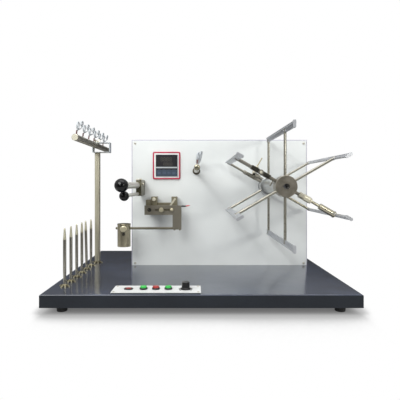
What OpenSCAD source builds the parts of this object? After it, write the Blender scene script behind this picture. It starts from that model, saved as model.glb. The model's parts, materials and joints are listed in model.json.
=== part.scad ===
// Yarn wrap reel: six yarns from a row of pegs are wound side by side on a six-armed reel.
// Front is -Y, right is +X, up is +Z, the origin lies on the floor in the middle.

/* [Base] */
// Width of the base
base_w = 830; // [800:1:900]
// Depth of the base
base_d = 683; // [640:1:760]
// Height of the skirt round the base
skirt_h = 34; // [32:0.5:44]
// Thickness of the deck sheet
sheet_t = 2; // [1.5:0.1:3]
// Outer radius of the bends round the deck
bend_r = 3.5; // [3.2:0.1:6]
// Thickness of the bottom plate
bottom_t = 1.5; // [1:0.1:2.5]
// Diameter of a rubber foot
foot_d = 30; // [24:1:36]
// Height of a rubber foot
foot_h = 18; // [8:1:24]
// Distance of a foot's axis from the side
foot_inset_x = 47.5; // [30:0.5:52]
// Distance of a foot's axis from front and back
foot_inset_y = 36; // [30:1:70]

/* [Cabinet] */
// Distance of the panel's face from the base's front edge
panel_y = 376.5; // [374:0.5:380]
// Distance of the cabinet's middle right of the base's middle
cabinet_x = 69.85; // [60:0.05:75]
// Width of the cabinet
cabinet_w = 614.3; // [600:0.1:630]
// Height of the cabinet
cabinet_h = 438.4; // [425:0.1:460]
// Depth of the cabinet behind the panel
cabinet_d = 238; // [225:1:250]
// Thickness of the front panel
panel_t = 3; // [2:0.1:4]
// Width of the shell's rim that shows round the panel
rim_w = 3.5; // [2:0.1:5]
// Thickness of the shell and the rear cover
shell_t = 1.5; // [1:0.1:2]
// Number of louvres in each column of the rear cover
louvre_count = 9; // [4:1:12]

/* [Yarn supply] */
// Distance of the pegs from the left side of the base
peg_inset = 38; // [37:0.1:42]
// Distance of the first peg from the front edge
peg_first = 86; // [80:1:92]
// Distance from peg to peg
peg_pitch = 56.6; // [50:0.1:58]
// Height of a peg above the deck
peg_h = 161; // [140:1:180]
// Diameter of a peg
peg_d = 9; // [8:0.1:11]
// Length of a peg's tapered tip
peg_tip = 32; // [20:1:40]
// Width of a peg foot across its arms
peg_foot_w = 33; // [28:0.5:40]
// Distance of the post from the left side
post_inset = 47; // [46:0.1:48]
// Distance of the post from the front edge
post_y = 427; // [422:1:436]
// Width of the square guide post
post_w = 17; // [14:0.5:20]
// Height of the guide bar's axis above the deck
guide_z = 420.5; // [400:0.5:440]
// Diameter of the guide bar
guide_d = 20; // [18:0.5:22]
// Distance of the guide bar's front end from the front edge
guide_front = 150; // [140:1:160]
// Length of the guide bar
guide_len = 450; // [420:1:480]
// Distance from guide eye to guide eye on the bar
eye_pitch = 68.6; // [60:0.1:70]
// Width of the post's strip loop
loop_w = 62.3; // [58:0.1:70]
// Depth of the strip loop
loop_d = 30; // [24:0.5:32]
// Thickness of the strip
loop_t = 2; // [1.5:0.1:3]

/* [Guide eyes] */
// Radius of the wire
wire_r = 1.3; // [0.9:0.05:1.4]
// Radius of the wire's coil
coil_r = 9.6; // [9:0.1:11.5]

/* [Counter] */
// Distance of the counter's middle to the left of the traverse rod
counter_x = 104; // [96:0.1:112]
// Distance of the counter's middle below the cabinet's top
counter_drop = 90.4; // [80:0.1:100]
// Width and height of the counter's housing
counter_w = 86; // [84:0.5:90]
// Depth of the housing behind the panel
counter_d = 80; // [60:1:100]
// Width and height of the window
window_w = 75; // [70:0.5:78]

/* [Controls] */
// Width of the control strip
strip_w = 233.4; // [228:0.1:245]
// Depth of the control strip
strip_d = 73.4; // [66:0.1:78]
// Thickness of the control strip
strip_t = 3.6; // [3:0.1:4.5]
// Distance of the strip from the front edge
strip_y = 5.6; // [4.5:0.1:7]
// Distance from the strip's left end to the rocker switch
rocker_at = 41; // [36:0.5:44]
// Distance from the strip's left end to the first button
button_at = 81; // [78:0.5:84]
// Distance from button to button
button_pitch = 33; // [30:0.5:35]
// Distance from the strip's left end to the knob
knob_at = 193; // [186:0.5:200]
// Diameter of a button's cap
button_d = 17; // [15:0.1:18]
// Height of a button's cap above the strip
button_h = 9; // [8.5:0.1:12]
// Diameter of the knob's grip
knob_d = 20.5; // [18:0.1:24]
// Height of the knob
knob_h = 19; // [16:0.5:22]

/* [Reel] */
// Girth of the reel, measured over the bars
reel_girth = 1000; // [980:1:1040]
// Distance of the reel's axis from the cabinet's right side
reel_inset = 143.6; // [138:0.1:150]
// Height of the reel's axis above the deck
reel_z = 276.6; // [270:0.1:290]
// Diameter of a hub
hub_d = 60; // [56:0.5:64]
// Width of a hub
hub_w = 40; // [30:1:44]
// Diameter of the barrel between the hubs
barrel_d = 48; // [40:1:52]
// Distance of the front arms from the front edge of the base
arm_front_y = 86; // [84:1:92]
// Distance between the front and back arms
arm_span = 245; // [235:1:247]
// Diameter of an arm
arm_d = 8; // [7:0.1:8.5]
// Distance that the bars reach beyond the base's front edge
reel_overhang = 20; // [15:1:25]
// Length of a bar with its end cap
bar_len = 373; // [365:1:378]
// Height of a bar along its arm
bar_h = 18; // [16:0.5:20]
// Thickness of a bar's web
web_t = 4; // [3:0.1:4.5]
// Diameter of the round bead along a bar's outer edge
bead_d = 7; // [6:0.1:8]
// Thickness of an end cap
cap_t = 4; // [3:0.5:6]
// Diameter of the reel's shaft
shaft_d = 20; // [18:0.5:20.5]

/* [Folding arm] */
// Distance of the fold's hinge from the reel's axis
hinge_r = 78; // [74:0.5:82]
// Diameter of the hinge pins
hinge_pin_d = 5; // [4:0.1:6]
// Length of the clamp block along the arm
block_len = 23; // [20:0.5:26]
// Diameter of the folding front rod
fold_rod_d = 10; // [9:0.1:10.5]
// Diameter of the clamp screw
clamp_d = 6; // [5:0.1:6.5]
// Length of the clamp screw's thin tail
clamp_tail = 27; // [15:1:35]

/* [Adjusting arm] */
// Distance of the adjusting nut's inner end from the reel's axis
nut_r = 44.6; // [42:0.1:46]
// Length of the adjusting nut
nut_len = 38.4; // [36:0.1:41]
// Diameter of the nut's round collar
nut_d = 18; // [16:0.1:20]
// Diameter of the sleeve at the bar
sleeve_d = 17; // [15:0.1:18]
// Length of the sleeve
sleeve_len = 50; // [44:0.5:56]

/* [Traverse] */
// Distance of the traverse rod to the left of the reel's axis
traverse_x = 243.9; // [240:0.1:250]
// Height of the traverse rod above the reel's axis
traverse_z = 52.4; // [50:0.1:56]
// Diameter of the traverse rod
traverse_d = 16.5; // [15:0.1:17]
// Distance of the rod's front end from the front edge
traverse_front = 71; // [66:1:80]
// Distance from guide eye to guide eye on the rod
lay_pitch = 53; // [48:0.5:54]
// Stroke of the traverse
stroke = 35; // [30:0.5:36]

/* [Tension head] */
// Distance of the head's middle from the cabinet's left side
tension_x = 38.4; // [36:0.1:42]
// Height of the head's middle above the deck
tension_z = 270.7; // [265:0.1:276]
// Width of the head
tension_w = 17.7; // [16:0.1:20]
// Height of the head
tension_h = 51.5; // [50:0.5:56]
// Distance that the head stands out from the panel
tension_out = 95.5; // [85:0.5:105]
// Diameter of the upper rod
rod_big_d = 20; // [16:0.5:21]
// Diameter of the lower rod
rod_small_d = 10; // [8:0.5:12]
// Diameter of the upper ball
ball_big_d = 36; // [32:0.5:38]
// Diameter of the lower ball
ball_small_d = 26; // [23:0.5:27]
// Distance of the upper ball from the front edge
ball_big_y = 4; // [1:0.5:8]
// Distance of the lower ball from the front edge
ball_small_y = 29.5; // [24:0.5:34]

/* [Balance] */
// Distance of the beam's pivot from the cabinet's left side
pivot_x = 71.1; // [70:0.1:74]
// Height of the beam's pivot above the deck
pivot_z = 197.9; // [196:0.1:202]
// Distance of the beam's face from the front edge
beam_y = 300; // [297:0.5:302]
// Thickness of the beam
beam_t = 8; // [6:0.1:8.5]
// Length of the beam's arm
beam_len = 122.3; // [120:0.1:130]
// Height of the beam's arm
beam_h = 31.1; // [28:0.1:34]
// Width of the beam's leg
leg_w = 29.1; // [27:0.1:31]
// Depth of the leg's lower end below the pivot
leg_drop = 65.1; // [60:0.1:72]
// Diameter of the counterweight rod
poise_rod_d = 8; // [7:0.1:9]
// Length of the counterweight rod to the left of the leg
poise_rod_len = 188.4; // [180:0.1:200]
// Diameter of the counterweight cup
cup_d = 43; // [40:0.5:46]
// Height of the counterweight cup
cup_h = 75; // [60:1:85]
// Wall of the cup
cup_t = 1.5; // [1:0.1:2]
// Length of the slot of the setting knob
slot_len = 51.2; // [48:0.1:53]
// Diameter of the setting knob
setting_d = 15; // [13:0.1:17]

/* [Drive] */
// Distance of the drive frame behind the panel's face
frame_y = 143.5; // [142:0.5:146]
// Distance of the cam shaft behind the panel's face
cam_y = 105.5; // [104:0.5:107]
// Diameter of the cam shaft
cam_shaft_d = 12; // [10:0.5:13]
// Diameter of the motor
motor_d = 90; // [80:1:100]
// Length of the motor
motor_len = 110; // [90:1:120]
// Height of the motor's axis above the deck
motor_z = 100; // [90:1:110]
// Diameter of the motor's pulley
pulley_small_d = 30; // [26:1:36]
// Diameter of the reel's pulley
pulley_big_d = 90; // [80:1:96]
// Outer diameter of the reel's bearings
bearing_d = 42; // [40:0.5:44]

/* [Fits] */
// Clearance all round between a pin and its bore
fit = 0.05; // [0.03:0.01:0.08]
// Clearance between pieces that move past each other
gap = 0.3; // [0.25:0.01:0.4]

/* [Hidden] */
$fn = 48;
// Lets a cut pass right through a face
eps = 0.5;

// The deck's frame starts at the middle of the base's front edge, at the deck's height
front_y = -(base_d - reel_overhang) / 2;
deck_z = foot_h + skirt_h;
base_left = -base_w / 2;
cabinet_left = cabinet_x - cabinet_w / 2;
cabinet_right = cabinet_left + cabinet_w;
shell_y = panel_y + panel_t;
cover_y = shell_y + cabinet_d;

// Cabinet
flange_w = 18;
screw_inset = 13;
screw_low = 7;
louvre_len = 90;

// Base
rail_w = 34;
rail_inset = 41;
rail_bottom = -(skirt_h - bottom_t);
rail_xs = [base_left + rail_inset, -(base_left + rail_inset)];
foot_xs = [base_left + foot_inset_x, -(base_left + foot_inset_x)];
foot_ys = [foot_inset_y, base_d - foot_inset_y];
deck_screw_ys = [base_d * 0.15, base_d * 0.38, base_d * 0.62, base_d * 0.85];
deck_stack = 2 * sheet_t;

// Yarn supply
eye_first = 16;
peg_x = base_left + peg_inset;
yarns = [0 : 5];
peg_ys = [for (i = yarns) peg_first + i * peg_pitch];
peg_leans = [0, 0, 0, 0, -1.2, 0];
post_x = base_left + post_inset;
foot_plate = 2.5;
foot_top = 6;
stud_r = 3;
stud_len = 9.5;
post_stud_r = 4;
loop_left = post_x - post_w / 2 - 6.1;
loop_y = post_y - 6.5;
loop_top = guide_z + guide_d / 2 + fit + loop_t;
loop_bottom = guide_z - guide_d / 2 - 14.2;
bar_eye_ys = [for (i = yarns) guide_front + eye_first + i * eye_pitch];

// Guide eyes
coil_pitch = 11;
stem_h = 12;
stem_r = 2;
washer_r = 4;
washer_h = 1.6;
eye_pin_r = 1.5;
eye_pin_len = 6;
bar_eye_turn = 34;
rod_eye_turn = 6;
eye_rise = 8;
coil_climb = 4;
wire_bend = 3;
wire_sides = 8;
coil_step = 25;
coil_turn = 575;

// Counter
frame_band = 4.5;
counter_z = cabinet_h - counter_drop;
counter_proud = 4;
window_depth = 2.5;
window_gap = 0.2;

// Controls
strip_x = cabinet_left + 3.3;
control_y = strip_y + strip_d / 2;
rocker_x = strip_x + rocker_at;
button_xs = [for (i = [0 : 2]) strip_x + button_at + i * button_pitch];
knob_x = strip_x + knob_at;
button_travel = 3;
collar_h = 4.4;
collar_floor = 0.6;
barrel_r = button_d / 2 - 0.6;
plunger_r = 3;
plunger_len = 12;
switch_depth = 24;
rocker_len = 15;
rocker_w = 11;
rocker_z = strip_t - 1.6;
rocker_pin_r = 1.5;
pot_r = 11;
pot_depth = 18;
spindle_r = 3;
bush_r = 4.5;

// Reel
reel_x = cabinet_right - reel_inset;
reel_r = reel_girth / 6;
hub_r = hub_d / 2;
arm_r = arm_d / 2;
arm_back_y = arm_front_y + arm_span;
arm_ys = [arm_front_y, arm_back_y];
fixed_arms = [30, 90, 210, 270];
fold_angle = 150;
adjust_angle = 330;
arm_seat = 14;
bead_r = bead_d / 2;
bead_at = reel_r - bead_r;
web_in = reel_r - bar_h;
arm_end = bead_at - bead_r - 0.2;
rivet_at = web_in + 6;
rivet_r = 1.5;
bar_front = -reel_overhang;
bar_back = bar_front + bar_len;
hub_front = arm_front_y - hub_w / 2;
hub_back = arm_back_y + hub_w / 2;
hub_nose = 10;
recess_r = 8;

// Folding arm
fork_w = 15;
tongue_t = 6;
block_h = 12;
stub_r = arm_r + 1;
fork_r = 6;
fork_in = hinge_r - 29;
slot_in = hinge_r - fork_r - 0.8;
block_in = hinge_r + fork_r + 1;
block_out = block_in + block_len;
clamp_at = block_in + block_len * 0.41;
socket_in = clamp_at + clamp_d / 2 + 0.4;
clamp_head = 4;
brace_off = 9.5;
dowel_at = hub_r + 7;
dowel_len = 20;

// Adjusting arm
neck_r = arm_r + 0.5;
nut_out = nut_r + nut_len;
neck_end = nut_r + nut_len * 0.4;
nut_space = 2;
adjust_travel = 3;
adjust_in = neck_end + adjust_travel + 1.5;
sleeve_out = arm_end;
sleeve_in = sleeve_out - sleeve_len;
adjust_seat = arm_seat + adjust_travel + 0.5;

// Traverse
cam_near = 30;
roller_d = 16;
cam_t = 10;
trav_x = reel_x - traverse_x;
counter_mid_x = trav_x - counter_x;
trav_z = reel_z + traverse_z;
trav_r = traverse_d / 2;
trav_back = panel_y + 63.5;
rod_eye_ys = [for (i = yarns) traverse_front + 10 + i * lay_pitch];
cam_axis_y = panel_y + cam_y;
cam_far = cam_near + stroke;
cam_x0 = trav_x - cam_t / 2;
cam_x1 = trav_x + cam_t / 2;
cam_r = cam_shaft_d / 2;
roller_r = roller_d / 2;
roller_ys = [cam_axis_y - cam_near, cam_axis_y + cam_far];
yoke_t = 6;
yoke_x = cam_x0 - 4 - yoke_t;
yoke_h = 20;
collar_r = trav_r + 4;
collar_y0 = trav_back - 16;
collar_y1 = trav_back - 2;
key_w = 3;
key_h = 2;
bushing_r = trav_r + 2.8;
bushing_len = 9.5;

// Tension head
tension_mid = cabinet_left + tension_x;
mount_t = 8.5;
head_back = panel_y - mount_t - gap;
head_front = panel_y - tension_out;
tension_pin_r = 6;
rod_big_x = tension_mid - 6.1;
rod_small_x = tension_mid - 3.5;
rod_big_z = tension_z + 8.7;
rod_small_z = tension_z - 19.4;
rod_big_spigot = 5;
rod_small_spigot = 3.5;
spigot_len = 14;

// Balance
slot_h = 6;
pivot_at = cabinet_left + pivot_x;
beam_left = pivot_at - 16.5;
beam_right = beam_left + beam_len;
beam_top = pivot_z + 14.5;
beam_back = beam_y + beam_t;
leg_left = beam_right - leg_w;
leg_bottom = pivot_z - leg_drop;
beam_mid_y = beam_y + beam_t / 2;
poise_z = leg_bottom + 4.1;
pivot_r = 4;
slot_left = pivot_at + 16.9;
setting_x = pivot_at + 39.7;
setting_r = slot_h / 2 - gap;
cup_x = leg_left - poise_rod_len + 27.3;
cup_bottom = poise_z - 59.9;
cup_top = cup_bottom + cup_h;
cup_sleeve_r = poise_rod_d / 2 + 3;
carrier_front = beam_back + 4;
carrier_left = beam_left + 3;
carrier_right = leg_left + 13.6;
plate_back_t = 8;

// Drive
frame_t = 6;
belt_w = 15;
bearing_w = 12;
plate_y = panel_y + frame_y;
supply_w = 150;
supply_d = 100;
supply_h = 45;
board_w = 120;
board_d = 90;
frame_left = trav_x + 20.5;
frame_right = reel_x + 96.6;
frame_h = trav_z + 16;
shaft_r = shaft_d / 2;
shaft_back = plate_y + frame_t + 49;
bearing_r = bearing_d / 2;
housing_r = bearing_r + 3;
front_bearing_y = panel_y + 35.5;
rear_bearing_y = plate_y + frame_t + 4;
boss_back = rear_bearing_y + bearing_w + 2;
pulley_y = boss_back + 1;
pulley_w = belt_w + 5;
gear_left = reel_x - 30.4;
gear_w = 60;
gear_front = plate_y - 68;
cam_shaft_end = gear_left + 20;
motor_r = motor_d / 2;
motor_shaft_r = 5;
pulley_small_r = pulley_small_d / 2;
pulley_big_r = pulley_big_d / 2;
belt_t = 2.5;

module on_deck() translate([0, front_y, deck_z]) children();

module on_reel() on_deck() translate([reel_x, 0, reel_z]) children();

// Along an arm of the reel: X runs outward from the reel's axis
module arm(angle, y = 0) rotate([0, -angle, 0]) translate([0, y, 0]) children();

module rod_x(r, x0, x1) translate([x0, 0, 0]) rotate([0, 90, 0]) cylinder(r = r, h = x1 - x0);

module rod_y(r, y0, y1) translate([0, y0, 0]) rotate([-90, 0, 0]) cylinder(r = r, h = y1 - y0);

module rod_z(r, z0, z1) translate([0, 0, z0]) cylinder(r = r, h = z1 - z0);

// A round bar with both edges broken
module chamfered(r, h, c = 0.8) rotate_extrude()
  polygon([[0, 0], [r - c, 0], [r, c], [r, h - c], [r - c, h], [0, h]]);

module bevel_y(r, y0, y1, c = 0.8) translate([0, y0, 0]) rotate([-90, 0, 0]) chamfered(r, y1 - y0, c);

module bevel_x(r, x0, x1, c = 0.8) translate([x0, 0, 0]) rotate([0, 90, 0]) chamfered(r, x1 - x0, c);

module hex_nut(bore, across, h) difference() {
  cylinder(d = across / cos(30), h = h, $fn = 6);
  rod_z(bore, -eps, h + eps);
}

module nut_y(y, bore, across, h) translate([0, y, 0]) rotate([-90, 0, 0]) hex_nut(bore, across, h);

// An outline that stands upright, drawn out towards the back
module slab_y(y, h) translate([0, y, 0]) rotate([-90, 0, 0]) linear_extrude(h) children();

// A flat outline with round corners
module round_plate(w, d, r) {
  square([w - 2 * r, d], center = true);
  square([w, d - 2 * r], center = true);
  for (x = [-1, 1], y = [-1, 1]) translate([x * (w / 2 - r), y * (d / 2 - r)]) circle(r);
}

// An upright outline with round upper corners
module bent_profile(w, h, r) {
  translate([-w / 2, 0]) square([w, h - r]);
  translate([-w / 2 + r, 0]) square([w - 2 * r, h]);
  for (s = [-1, 1]) translate([s * (w / 2 - r), h - r]) circle(r);
}

// A box whose four upper edges are bends that meet in mitred corners
module bent_box(w, d, h, r) intersection() {
  rotate([90, 0, 0]) linear_extrude(d, center = true) bent_profile(w, h, r);
  rotate([90, 0, 90]) linear_extrude(w, center = true) bent_profile(d, h, r);
}

// A pan-head screw with a cross recess, its shank pointing down
module pan_screw(r, len) {
  difference() {
    rotate_extrude() polygon([[0, 0], [r * 2, 0], [r * 2, r * 0.6], [r * 1.4, r * 1.2], [0, r * 1.2]]);
    for (a = [0, 90]) rotate(a) translate([-r, -r * 0.2, r * 0.5]) cube([r * 2, r * 0.4, r]);
  }
  rod_z(r, -len, 0.1);
}

// Places of the screws, each with +Z pointing out of the face
module at_panel_screws() {
  for (x = [cabinet_left + screw_inset, cabinet_right - screw_inset],
    z = [screw_low, cabinet_h - screw_inset])
    translate([x, panel_y, z]) rotate([90, 0, 0]) children();
}

module at_cover_screws() {
  for (x = [cabinet_left + flange_w / 2, cabinet_right - flange_w / 2],
    z = [flange_w / 2, cabinet_h / 2, cabinet_h - flange_w / 2])
    translate([x, cover_y + shell_t, z]) rotate([-90, 0, 0]) children();
}

module at_strip_screws() {
  for (x = [strip_x + 7, strip_x + strip_w - 7], y = [strip_y + 7, strip_y + strip_d - 7])
    translate([x, y, strip_t]) children();
}

module at_bottom_screws() {
  for (x = rail_xs, y = deck_screw_ys) translate([x, y, -skirt_h]) rotate([180, 0, 0]) children();
}

module base_deck() {
  inner_r = bend_r - sheet_t;
  color("#3c4350") on_deck() difference() {
    union() {
      translate([0, base_d / 2, -skirt_h]) difference() {
        bent_box(base_w, base_d, skirt_h, bend_r);
        translate([0, 0, -eps])
          bent_box(base_w - 2 * sheet_t, base_d - 2 * sheet_t, skirt_h - sheet_t + eps, inner_r);
      }
      for (x = rail_xs) translate([x, base_d / 2, 0]) side_rail();
      cross_rail();
    }
    for (y = peg_ys) translate([peg_x, y, 0]) rod_z(stud_r + gap, -deck_stack - eps, eps);
    translate([post_x, post_y, 0]) rod_z(post_stud_r + gap, -deck_stack - eps, eps);
    at_bottom_screws() rod_z(2 + gap, -8, eps);
    at_strip_screws() rod_z(1.5 + gap, -8, eps);
    translate([rocker_x - 16, control_y - 13, -sheet_t - eps])
      cube([knob_x - rocker_x + 32, 26, sheet_t + 2 * eps]);
  }
}

// A square tube welded under the deck, from the front skirt to the back one
module side_rail() difference() {
  translate([-rail_w / 2, -base_d / 2 + sheet_t - 0.1, rail_bottom])
    cube([rail_w, base_d - 2 * sheet_t + 0.2, -rail_bottom - sheet_t + 0.1]);
  translate([-rail_w / 2 + sheet_t, -base_d / 2 + sheet_t, rail_bottom + sheet_t])
    cube([rail_w - 2 * sheet_t, base_d - 2 * sheet_t, -rail_bottom - 3 * sheet_t]);
}

// A channel across the base under the panel's line
module cross_rail() difference() {
  translate([rail_xs[0] + rail_w / 2 - 0.1, panel_y + 10, rail_bottom])
    cube([rail_xs[1] - rail_xs[0] - rail_w + 0.2, rail_w, -rail_bottom - sheet_t + 0.1]);
  translate([rail_xs[0] + rail_w / 2, panel_y + 10 + sheet_t, rail_bottom - eps])
    cube([rail_xs[1] - rail_xs[0] - rail_w, rail_w - 2 * sheet_t, -rail_bottom - 2 * sheet_t + eps]);
}

module base_plate() {
  color("#5a6068") on_deck() difference() {
    translate([0, base_d / 2, -skirt_h]) linear_extrude(bottom_t)
      round_plate(base_w - 2 * sheet_t - 2 * gap, base_d - 2 * sheet_t - 2 * gap, 2);
    at_bottom_screws() rod_z(2 + gap, -8, eps);
    for (x = foot_xs, y = foot_ys) translate([x, y, -skirt_h]) rod_z(2.5, -eps, bottom_t + eps);
    for (i = [-6 : 6]) translate([i * 30, base_d / 2, -skirt_h]) linear_extrude(3, center = true)
      round_plate(5, 50, 2.4);
  }
}

module rubber_feet() {
  color("#17181a") on_deck() for (x = foot_xs, y = foot_ys) translate([x, y, -deck_z]) {
    difference() {
      rotate_extrude() polygon([
        [0, 0], [foot_d / 2 - 2.5, 0], [foot_d / 2 - 1.5, 1], [foot_d / 2, foot_h - 1],
        [foot_d / 2 - 1, foot_h], [0, foot_h],
      ]);
      rod_z(foot_d / 4, -eps, foot_h / 2);
    }
    rod_z(2, foot_h / 2, foot_h + bottom_t - 0.1);
  }
}

module case_screws() {
  color("#a9a9a4") on_deck() {
    at_panel_screws() pan_screw(2, panel_t + shell_t + 4);
    at_cover_screws() pan_screw(1.8, 2 * shell_t + 4);
    at_strip_screws() pan_screw(1.5, strip_t + sheet_t + 3);
    at_bottom_screws() pan_screw(2, bottom_t + sheet_t + 2);
  }
}

module cabinet_shell() {
  in_w = cabinet_w - 2 * shell_t;
  color("#b9b8c4") on_deck() difference() {
    translate([cabinet_left, shell_y, 0]) difference() {
      cube([cabinet_w, cabinet_d, cabinet_h]);
      translate([shell_t, shell_t, shell_t])
        cube([in_w, cabinet_d - 2 * shell_t, cabinet_h - 2 * shell_t]);
      translate([flange_w, -eps, flange_w])
        cube([cabinet_w - 2 * flange_w, cabinet_d + 2 * eps, cabinet_h - 2 * flange_w]);
      translate([flange_w, flange_w, -eps])
        cube([cabinet_w - 2 * flange_w, cabinet_d - 2 * flange_w, flange_w]);
    }
    at_panel_screws() rod_z(2 + gap, -panel_t - shell_t - eps, eps);
    at_cover_screws() rod_z(1.8 + gap, -2 * shell_t - eps, eps);
  }
}

module front_panel() {
  color("#d9dddf") on_deck() difference() {
    translate([cabinet_left + rim_w, panel_y, 0])
      cube([cabinet_w - 2 * rim_w, panel_t, cabinet_h - rim_w]);
    at_panel_screws() rod_z(2 + gap, -panel_t - eps, eps);
    translate([reel_x, 0, reel_z]) rod_y(housing_r + gap, panel_y - eps, shell_y + eps);
    translate([trav_x, 0, trav_z]) rod_y(bushing_r + gap, panel_y - eps, shell_y + eps);
    translate([counter_mid_x, panel_y + panel_t / 2, counter_z])
      cube([counter_w + 1, panel_t + 2 * eps, counter_w + 1], center = true);
    translate([tension_mid, 0, tension_z]) rod_y(4 + gap, panel_y - eps, shell_y + eps);
    at_carrier_studs() rod_y(3 + gap, panel_y - eps, shell_y + eps);
  }
}

// The rear cover with pressed louvres; each louvre's hood opens downward
module rear_cover() {
  color("#b9b8c4") on_deck() {
    difference() {
      translate([cabinet_left, cover_y, 0]) cube([cabinet_w, shell_t, cabinet_h]);
      at_cover_screws() rod_z(1.8 + gap, -shell_t - eps, eps);
      at_louvres() translate([-louvre_len / 2, -eps, 0])
        cube([louvre_len, shell_t + 2 * eps, 5]);
      at_inlet() cube([28, 10, 21], center = true);
    }
    at_louvres() louvre_hood();
  }
}

module at_louvres() {
  pitch = 22;
  for (s = [-1, 1], i = [0 : louvre_count - 1])
    translate([cabinet_x + s * cabinet_w / 4, cover_y,
         cabinet_h / 2 + (i - (louvre_count - 1) / 2) * pitch])
      children();
}

module louvre_hood() translate([0, shell_t - 0.1, 0]) difference() {
  translate([-louvre_len / 2 - 1, 0, 5.5]) intersection() {
    rod_x(6, 0, louvre_len + 2);
    translate([0, 0, -6]) cube([louvre_len + 2, 6, 7]);
  }
  translate([-louvre_len / 2, -eps, 5.5]) rod_x(5, 0, louvre_len);
  translate([-louvre_len / 2 - 2, -eps, -2]) cube([louvre_len + 4, 8, 2.6]);
}

module at_inlet() translate([cabinet_right - 60, cover_y, 40]) children();

module power_inlet() {
  color("#202226") on_deck() at_inlet() {
    difference() {
      union() {
        slab_y(shell_t, 3) round_plate(48, 26, 6);
        translate([0, shell_t - 8, 0]) cube([27, 22, 20], center = true);
      }
      translate([0, shell_t + 2, 0]) cube([24, 20, 16], center = true);
    }
    for (p = [[-7, -1.5], [0, 2], [7, -1.5]])
      translate([p[0] - 1, shell_t - 9, p[1] - 2]) cube([2, 10, 4]);
  }
}

// The post with its welded strip loop
module guide_post() {
  post_top = loop_bottom + 0.1;
  color("#8d8a7c") on_deck() {
    translate([post_x, post_y, 0]) {
      difference() {
        translate([0, 0, foot_top]) linear_extrude(post_top - foot_top)
          round_plate(post_w, post_w, 1.5);
        translate([0, 0, foot_top + 8]) linear_extrude(post_top - foot_top - 7)
          round_plate(post_w - 4, post_w - 4, 0.6);
      }
      rod_z(post_stud_r, -stud_len - 2, foot_top + 0.1);
      translate([0, 0, -deck_stack - 5]) hex_nut(post_stud_r + fit, 12, 5);
    }
    difference() {
      translate([loop_left, loop_y - loop_d / 2, loop_bottom])
        cube([loop_w, loop_d, loop_top - loop_bottom]);
      translate([loop_left + loop_t, loop_y - loop_d, loop_bottom + loop_t])
        cube([loop_w - 2 * loop_t, 2 * loop_d, loop_top - loop_bottom - 2 * loop_t]);
      translate([post_x, loop_y, 0]) rod_z(3 + gap, loop_top - loop_t - eps, loop_top + eps);
    }
  }
}

// The bar through the loop, and the wing screw that holds it
module guide_bar() {
  color("#97937f") on_deck() {
    translate([post_x, 0, guide_z]) difference() {
      bevel_y(guide_d / 2, guide_front, guide_front + guide_len, 1);
      for (y = bar_eye_ys) translate([0, y, 0])
        rod_z(eye_pin_r + fit, guide_d / 2 - eye_pin_len - 1, guide_d);
      translate([0, loop_y, 0]) rod_z(3 + fit, 2, guide_d);
    }
    translate([post_x, loop_y, guide_z]) {
      rod_z(3, 3, loop_top - guide_z + 4);
      translate([0, 0, loop_top - guide_z]) {
        rod_z(5.5, 0, 5);
        for (s = [-1, 1]) translate([s * 6.5, 0, 6.5]) rotate([90, 0, 30 * s]) rotate([0, 0, s * -20])
          translate([0, 0, -0.8]) linear_extrude(1.6) scale_oval(5, 8);
      }
    }
  }
}

// An oval made of two arcs
module scale_oval(a, b) {
  r = (a * a + b * b) / (2 * a) / 2 + 1;
  intersection() {
    translate([r - a, 0]) circle(r);
    translate([a - r, 0]) circle(r);
  }
}

// One guide eye: a washer, a stem, a wire coil of one and a half turns, and a pin below its foot
module guide_eye(turn) {
  rod_z(eye_pin_r, -eye_pin_len, 0.1);
  rod_z(washer_r, 0, washer_h);
  rotate([0, 6, 0]) {
    rod_z(stem_r, washer_h - 0.5, washer_h + stem_h);
    translate([0, 0, washer_h + stem_h]) rotate([0, -eye_rise, turn]) wire(coil_path);
  }
}

// The wire's middle line: a bend out of the stem, then the coil
coil_path = concat(
  [for (a = [0 : 30 : 60]) [0, wire_bend * (1 - cos(a)), wire_bend * sin(a) - wire_bend]],
  [for (t = [0 : coil_step : coil_turn])
    [coil_pitch * t / 360, wire_bend + coil_r * sin(t), coil_r * (1 - cos(t)) + coil_climb * t / 360]]
);

// A round wire along a path whose direction stays nearly square to X
module wire(path) {
  n = len(path);
  way = [for (i = [0 : n - 1]) unit(path[min(i + 1, n - 1)] - path[max(i - 1, 0)])];
  side = [for (w = way) unit([1, 0, 0] - w[0] * w)];
  points = [for (i = [0 : n - 1], j = [0 : wire_sides - 1])
    let (a = j * 360 / wire_sides)
    path[i] + wire_r * (cos(a) * side[i] + sin(a) * cross(way[i], side[i]))];
  skin = [for (i = [0 : n - 2], j = [0 : wire_sides - 1], k = [0, 1])
    let (a = i * wire_sides + j, b = i * wire_sides + (j + 1) % wire_sides)
    k == 0 ? [a, a + wire_sides, b + wire_sides] : [a, b + wire_sides, b]];
  first = [for (j = [0 : wire_sides - 1]) j];
  last = [for (j = [wire_sides - 1 : -1 : 0]) (n - 1) * wire_sides + j];
  polyhedron(points, concat(skin, [first, last]));
}

function unit(v) = v / norm(v);

module bar_guides() {
  color("#dfe1e0") on_deck() for (y = bar_eye_ys) translate([post_x, y, guide_z + guide_d / 2])
    guide_eye(bar_eye_turn);
}

module bobbin_pegs() {
  r = peg_d / 2;
  color("#a39c84") on_deck() for (i = yarns) translate([peg_x, peg_ys[i], 0]) {
    rod_z(stud_r, -stud_len, foot_top + 0.1);
    rotate([0, peg_leans[i], 0]) rotate_extrude() polygon([
      [0, foot_top], [r - 0.9, foot_top], [r - 0.9, foot_top + 6], [r, foot_top + 34],
      [r, peg_h - peg_tip], [2.3, peg_h - 1.8], [1.4, peg_h - 0.4], [0, peg_h],
    ]);
    translate([0, 0, -deck_stack - 5]) hex_nut(stud_r + fit, 10, 5);
  }
}

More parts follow.
